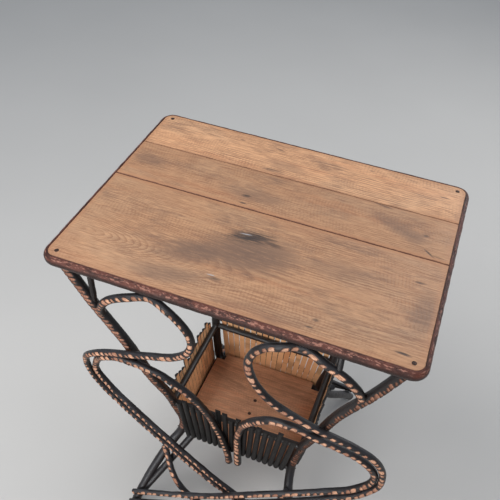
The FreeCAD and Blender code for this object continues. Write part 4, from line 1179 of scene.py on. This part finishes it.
class TWIGTABLE_OT_rails(bpy.types.Operator):
    """Make the straight twigs: rails, bearer, stub posts and foot struts"""
    bl_idname = "twig_table.rails"
    bl_label = "Rails, Posts and Struts"

    def execute(self, context):
        sizes, _ = settings()
        bars = []
        for kind, height, slot in (("under_rail", UNDER_RAIL_HEIGHT, "dark_bark"),
                                   ("rim_rail", RIM_CORNER.z, "rail_bark"),
                                   ("bottom_rail", BASE_CORNER.z, "rail_bark")):
            for side, ends in SIDES.items():
                start, end = (leg_centre(corner, height) for corner in ends)
                bars.append((f"{kind}_{side}", start, end, sizes.rail_diameter, slot))
        bearer = Vector((0, BASE_CORNER.y, BASE_CORNER.z))
        bars.append(("floor_bearer", turned(bearer, 1, -1), bearer, sizes.rail_diameter, "rail_bark"))
        upper_right = sampled(scroll_route(UPPER_RIGHT_SHARES, sizes))
        on_scroll = next(place for place in upper_right if place.x <= SHORT_STUB_SHARE * HALF_LENGTH)
        rail_depth = leg_at(UNDER_RAIL_HEIGHT)[0].y
        for corner, signs in CORNERS.items():
            long = signs[0] == signs[1]
            foot = leg_at(LONG_STUB_SHARE * HALF_LENGTH, axis=0)[0] if long else turned(on_scroll, 1, -1)
            head = Vector((foot.x, rail_depth, UNDER_RAIL_HEIGHT))
            end = leg_at(STRUT_FOOT_HEIGHT, signs[0] * signs[1])[0]
            axes = (Vector((0, 1, 0)), Vector((1, 0, 0)))
            across, along = axes if long else reversed(axes)
            start = strut_start(across, along, end, sizes)
            for kind, ends, diameter in (("stub_post", (head, foot), sizes.stub_diameter),
                                         ("foot_strut", (start, end), sizes.strut_diameter)):
                first, last = (turned(point, *signs) for point in ends)
                bars.append((f"{kind}_{corner}", first, last, diameter, "dark_bark"))
        finish = {"dark_bark": "Dark Bark", "rail_bark": "Rail Bark"}
        for seed, (node, start, end, diameter, slot) in enumerate(bars, start=RAIL_SEED):
            wavering = [noise.noise(place * SWAY_FINENESS) for place in (start, end)]
            sway = Vector((*wavering, 0)) * RAIL_SWAY
            twig(node, [start, start.lerp(end, 0.4) + sway, start.lerp(end, 0.7) - sway, end], {
                "Diameter": diameter, "Ring Step": sizes.ring_step * 2, "Sides": 24, "Chip Depth": 0.0,
                "Chip Facing": (0.3, -0.5, 0.8), "Lump Height": sizes.lump_height * RAIL_LUMP_SHARE,
                "Seed": seed, "Bark": bpy.data.materials[finish[slot]]})
        return {"FINISHED"}


class TWIGTABLE_OT_top(bpy.types.Operator):
    """Make the three boards of the top"""
    bl_idname = "twig_table.top"
    bl_label = "Top Boards"

    def execute(self, context):
        sizes, tones = settings()
        first = -BOARD_SIDE + FRONT_BOARD_WIDTH
        second = first + BOARD_GAP + MIDDLE_BOARD_WIDTH
        # Each board's lightness scales its wood; the back board's 1.36 is painted light, the top lighter
        # towards the back where the light falls brighter.
        for label, lightness, low, high, round_low, round_high, heart, seams in (
                ("front", 0.97, -BOARD_SIDE, first, True, False, FRONT_HEART, (0.55, 0.9)),
                ("middle", 0.94, first + BOARD_GAP, second, False, False, MIDDLE_HEART, (0.9, 0.4)),
                ("back", 1.36, second + BOARD_GAP, BOARD_SIDE, False, True, BACK_HEART, (0.4, 0.55))):
            outline = board_outline(low, high, round_low, round_high)
            piece = board_object(f"board_{label}", outline, UNDERSIDE, TABLE_HEIGHT, sizes.board_edge)
            material = top_material(f"Top Wood {label}", tones, lightness, heart, low, high, seams)
            piece.data.materials.append(material)
            dressed(piece, f"top_board_{label}")
        return {"FINISHED"}


class TWIGTABLE_OT_edging(bpy.types.Operator):
    """Bend the split edging round the top"""
    bl_idname = "twig_table.edging"
    bl_label = "Edging"

    def execute(self, context):
        sizes, _ = settings()
        middle = TABLE_HEIGHT - EDGING_HEIGHT / 2
        x, y = BOARD_END - BOARD_RADIUS, BOARD_SIDE - BOARD_RADIUS
        lines = {}
        for side, turn in (("front", 1), ("back", -1)):
            places, ways = [], []
            for sign, start in ((-1, 180), (1, 270)):
                for angle in range(start, start + 91, EDGING_TURN_STEP):
                    way = Vector((math.cos(math.radians(angle)), math.sin(math.radians(angle)), 0))
                    place = Vector((sign * x, -y, middle)) + way * BOARD_RADIUS
                    places.append(turned(place, turn, turn))
                    ways.append(turned(way, turn, turn))
            lines[side] = places, ways
        for side, turn in (("left", 1), ("right", -1)):
            way = Vector((-turn, 0, 0))
            ends = [Vector((-BOARD_END * turn, share * (y - SEAT_GAP) * turn, middle)) for share in (1, -1)]
            lines[side] = ends, [way, way]
        for seed, (side, line) in enumerate(lines.items(), start=EDGING_SEED):
            strips(f"edging_strip_{side}", [line], {
                "Width": EDGING_HEIGHT, "Thickness": EDGING_THICKNESS, "Ring Step": sizes.edging_step,
                "Sides": 14, "Lump Height": sizes.edging_lump, "Tip Width": 1.0, "Seed": seed,
                "Bark": bpy.data.materials["Edging Bark"]}, f"edging_{side}", EDGING_CREASE)
        return {"FINISHED"}


class TWIGTABLE_OT_pickets(bpy.types.Operator):
    """Set the split pickets round the basket"""
    bl_idname = "twig_table.pickets"
    bl_label = "Pickets"

    def execute(self, context):
        sizes, _ = settings()
        margin = (sizes.leg_diameter + sizes.picket_width) / 2 + PICKET_CORNER_GAP
        for seed, side in enumerate(SIDES, start=PICKET_SEED):
            axis = 0 if side in ("front", "back") else 1
            axes = (Vector((1, 0, 0)), Vector((0, 1, 0)))
            run, outward = axes[axis], axes[1 - axis] * (1 if side in ("back", "right") else -1)
            half_foot, half_tip = BASE_CORNER[axis] - margin, RIM_CORNER[axis] - margin
            count = int(2 * half_foot / PICKET_PITCH) + 1
            lines = []
            for index in range(count):
                share = 2 * index / (count - 1) - 1
                low, high = (run * (share * half) + outward * corner[1 - axis] + Vector((0, 0, corner.z))
                             for half, corner in ((half_foot, BASE_CORNER), (half_tip, RIM_CORNER)))
                along = (high - low).normalized()
                facing = along.cross(outward).normalized().cross(along)
                seat = facing * (sizes.rail_diameter / 2 + SEAT_GAP)
                at_corner = index in (0, count - 1)
                wave = 0 if at_corner else TIP_WAVE_SHARES[(index * 3 + count) % len(TIP_WAVE_SHARES)]
                tip = high + along * (PICKET_RISE + wave * PICKET_UNEVENNESS)
                lines.append(([low - along * PICKET_DROP + seat, tip + seat], [facing, facing]))
            strips(f"picket_row_{side}", lines, {
                "Width": sizes.picket_width, "Thickness": sizes.picket_width / 2,
                "Ring Step": sizes.picket_step, "Sides": 9, "Lump Height": sizes.picket_lump,
                "Tip Width": 0.93, "Seed": seed, "Bark": bpy.data.materials["Split Twig"]},
                f"pickets_{side}", PICKET_CREASE)
        return {"FINISHED"}


class TWIGTABLE_OT_basket_floor(bpy.types.Operator):
    """Lay the basket's floor board"""
    bl_idname = "twig_table.basket_floor"
    bl_label = "Basket Floor"

    def execute(self, context):
        sizes, tones = settings()
        half = BASKET_FLOOR_SIZE / 2
        inner = half - Vector((BASKET_FLOOR_NOTCH, BASKET_FLOOR_NOTCH, 0))
        quarter = [Vector((x, y, 0)) for x, y in ((half.x, inner.y), (inner.x, inner.y), (inner.x, half.y))]
        outline = [turned(point, 1, -1) for point in reversed(quarter)] + quarter
        outline += [turned(point, -1, -1) for point in outline]
        top = BASKET_FLOOR_LEVEL + BASKET_FLOOR_SIZE.z
        piece = board_object("basket_board", outline, BASKET_FLOOR_LEVEL, top, sizes.board_edge)
        piece.data.materials.append(floor_material("Floor Wood", tones.floor_wood))
        dressed(piece, "basket_floor")
        return {"FINISHED"}


class TWIGTABLE_OT_nails(bpy.types.Operator):
    """Drive the nails: domed heads in the boards, and the iron of the others"""
    bl_idname = "twig_table.nails"
    bl_label = "Nails"

    def execute(self, context):
        sizes, _ = settings()
        outward = Vector((CORNER_NAIL_OFFSET, CORNER_NAIL_OFFSET, BOARD_THICKNESS - NAIL_SINK))
        tops = [turned(LEG_TOP + outward, *signs) for signs in CORNERS.values()]
        level = BASKET_FLOOR_LEVEL + BASKET_FLOOR_SIZE.z - NAIL_SINK
        tops += [Vector((0, share * BASKET_FLOOR_SIZE.y / 2, level)) for share in FLOOR_NAIL_SHARES]
        mesh = bpy.data.meshes.new("nail_heads")
        mesh.from_pydata(tops, [], [])
        iron = bpy.data.materials["Nail Iron"]
        heads = grown(linked("nail_heads", mesh), "Nail Heads", {
            "Width": sizes.nail_head, "Dome": sizes.nail_dome, "Seed": NAIL_SEED, "Iron": iron})
        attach(heads, "root")
        for node in NAIL_NODES:
            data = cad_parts[node].data
            data.materials.clear()
            data.materials.append(iron)
        return {"FINISHED"}


class TWIGTABLE_OT_stage(bpy.types.Operator):
    """Set up the pale floor, the studio light and the camera"""
    bl_idname = "twig_table.stage"
    bl_label = "Stage"

    def execute(self, context):
        _, tones = settings()
        scene = context.scene
        scene.view_settings.view_transform = "Standard"
        mesh = bpy.data.meshes.new("stage_floor")
        corners = [(x * STAGE_REACH, y * STAGE_REACH, 0) for x, y in ((-1, -1), (1, -1), (1, 1), (-1, 1))]
        mesh.from_pydata(corners, [], [(0, 1, 2, 3)])
        mesh.materials.append(stage_material("Stage Floor", tones.stage))
        linked("stage_floor", mesh)

        world = bpy.data.worlds.new("Studio")
        world.use_nodes = True
        sky = world.node_tree.nodes["Background"]
        sky.inputs["Color"].default_value = (*tones.sky, 1.0)
        sky.inputs["Strength"].default_value = SKY_STRENGTH
        scene.world = world
        for name, place, aim, width, power in LAMPS:
            data = bpy.data.lights.new(name, "AREA")
            data.shape = "DISK"
            data.size = width
            data.energy = power
            lamp = linked(name, data)
            lamp.location = place
            lamp.rotation_euler = (Vector(aim) - Vector(place)).to_track_quat("-Z", "Y").to_euler()

        data = bpy.data.cameras.new("camera")
        data.sensor_fit = "HORIZONTAL"
        data.sensor_width = SENSOR_WIDTH
        data.lens = CAMERA_LENS
        camera = linked("camera", data)
        turn = Matrix((CAMERA_RIGHT, -CAMERA_DOWN, -CAMERA_FORWARD)).transposed()
        camera.matrix_world = Matrix.Translation(CAMERA_PLACE) @ turn.to_4x4()
        scene.camera = camera
        return {"FINISHED"}


OPERATORS = (
    TWIGTABLE_OT_finishes, TWIGTABLE_OT_stage, TWIGTABLE_OT_top, TWIGTABLE_OT_edging, TWIGTABLE_OT_legs,
    TWIGTABLE_OT_scrolls, TWIGTABLE_OT_rails, TWIGTABLE_OT_pickets, TWIGTABLE_OT_basket_floor,
    TWIGTABLE_OT_nails,
)


class TWIGTABLE_PT_pieces(bpy.types.Panel):
    """Sizes, colours and pieces of the twig table"""
    bl_idname = "TWIGTABLE_PT_pieces"
    bl_label = "Twig Table"
    bl_space_type = "VIEW_3D"
    bl_region_type = "UI"
    bl_category = "Twig Table"

    def draw(self, context):
        for values in settings():
            for name in values.bl_rna.properties.keys():
                if name not in ("rna_type", "name"):
                    self.layout.prop(values, name)
        for operator in OPERATORS:
            self.layout.operator(operator.bl_idname)


CLASSES = (TwigTableSizes, TwigTableColours) + OPERATORS + (TWIGTABLE_PT_pieces,)


def register():
    """Register the classes and the scene's settings."""
    for item in CLASSES:
        bpy.utils.register_class(item)
    bpy.types.Scene.twig_table_sizes = bpy.props.PointerProperty(type=TwigTableSizes)
    bpy.types.Scene.twig_table_colours = bpy.props.PointerProperty(type=TwigTableColours)


def unregister():
    """Remove the scene's settings and the classes."""
    del bpy.types.Scene.twig_table_colours
    del bpy.types.Scene.twig_table_sizes
    for item in reversed(CLASSES):
        bpy.utils.unregister_class(item)


def main():
    """Build every piece in order."""
    register()
    for operator in OPERATORS:
        family, name = operator.bl_idname.split(".")
        getattr(getattr(bpy.ops, family), name)()


if __name__ == "__main__":
    main()
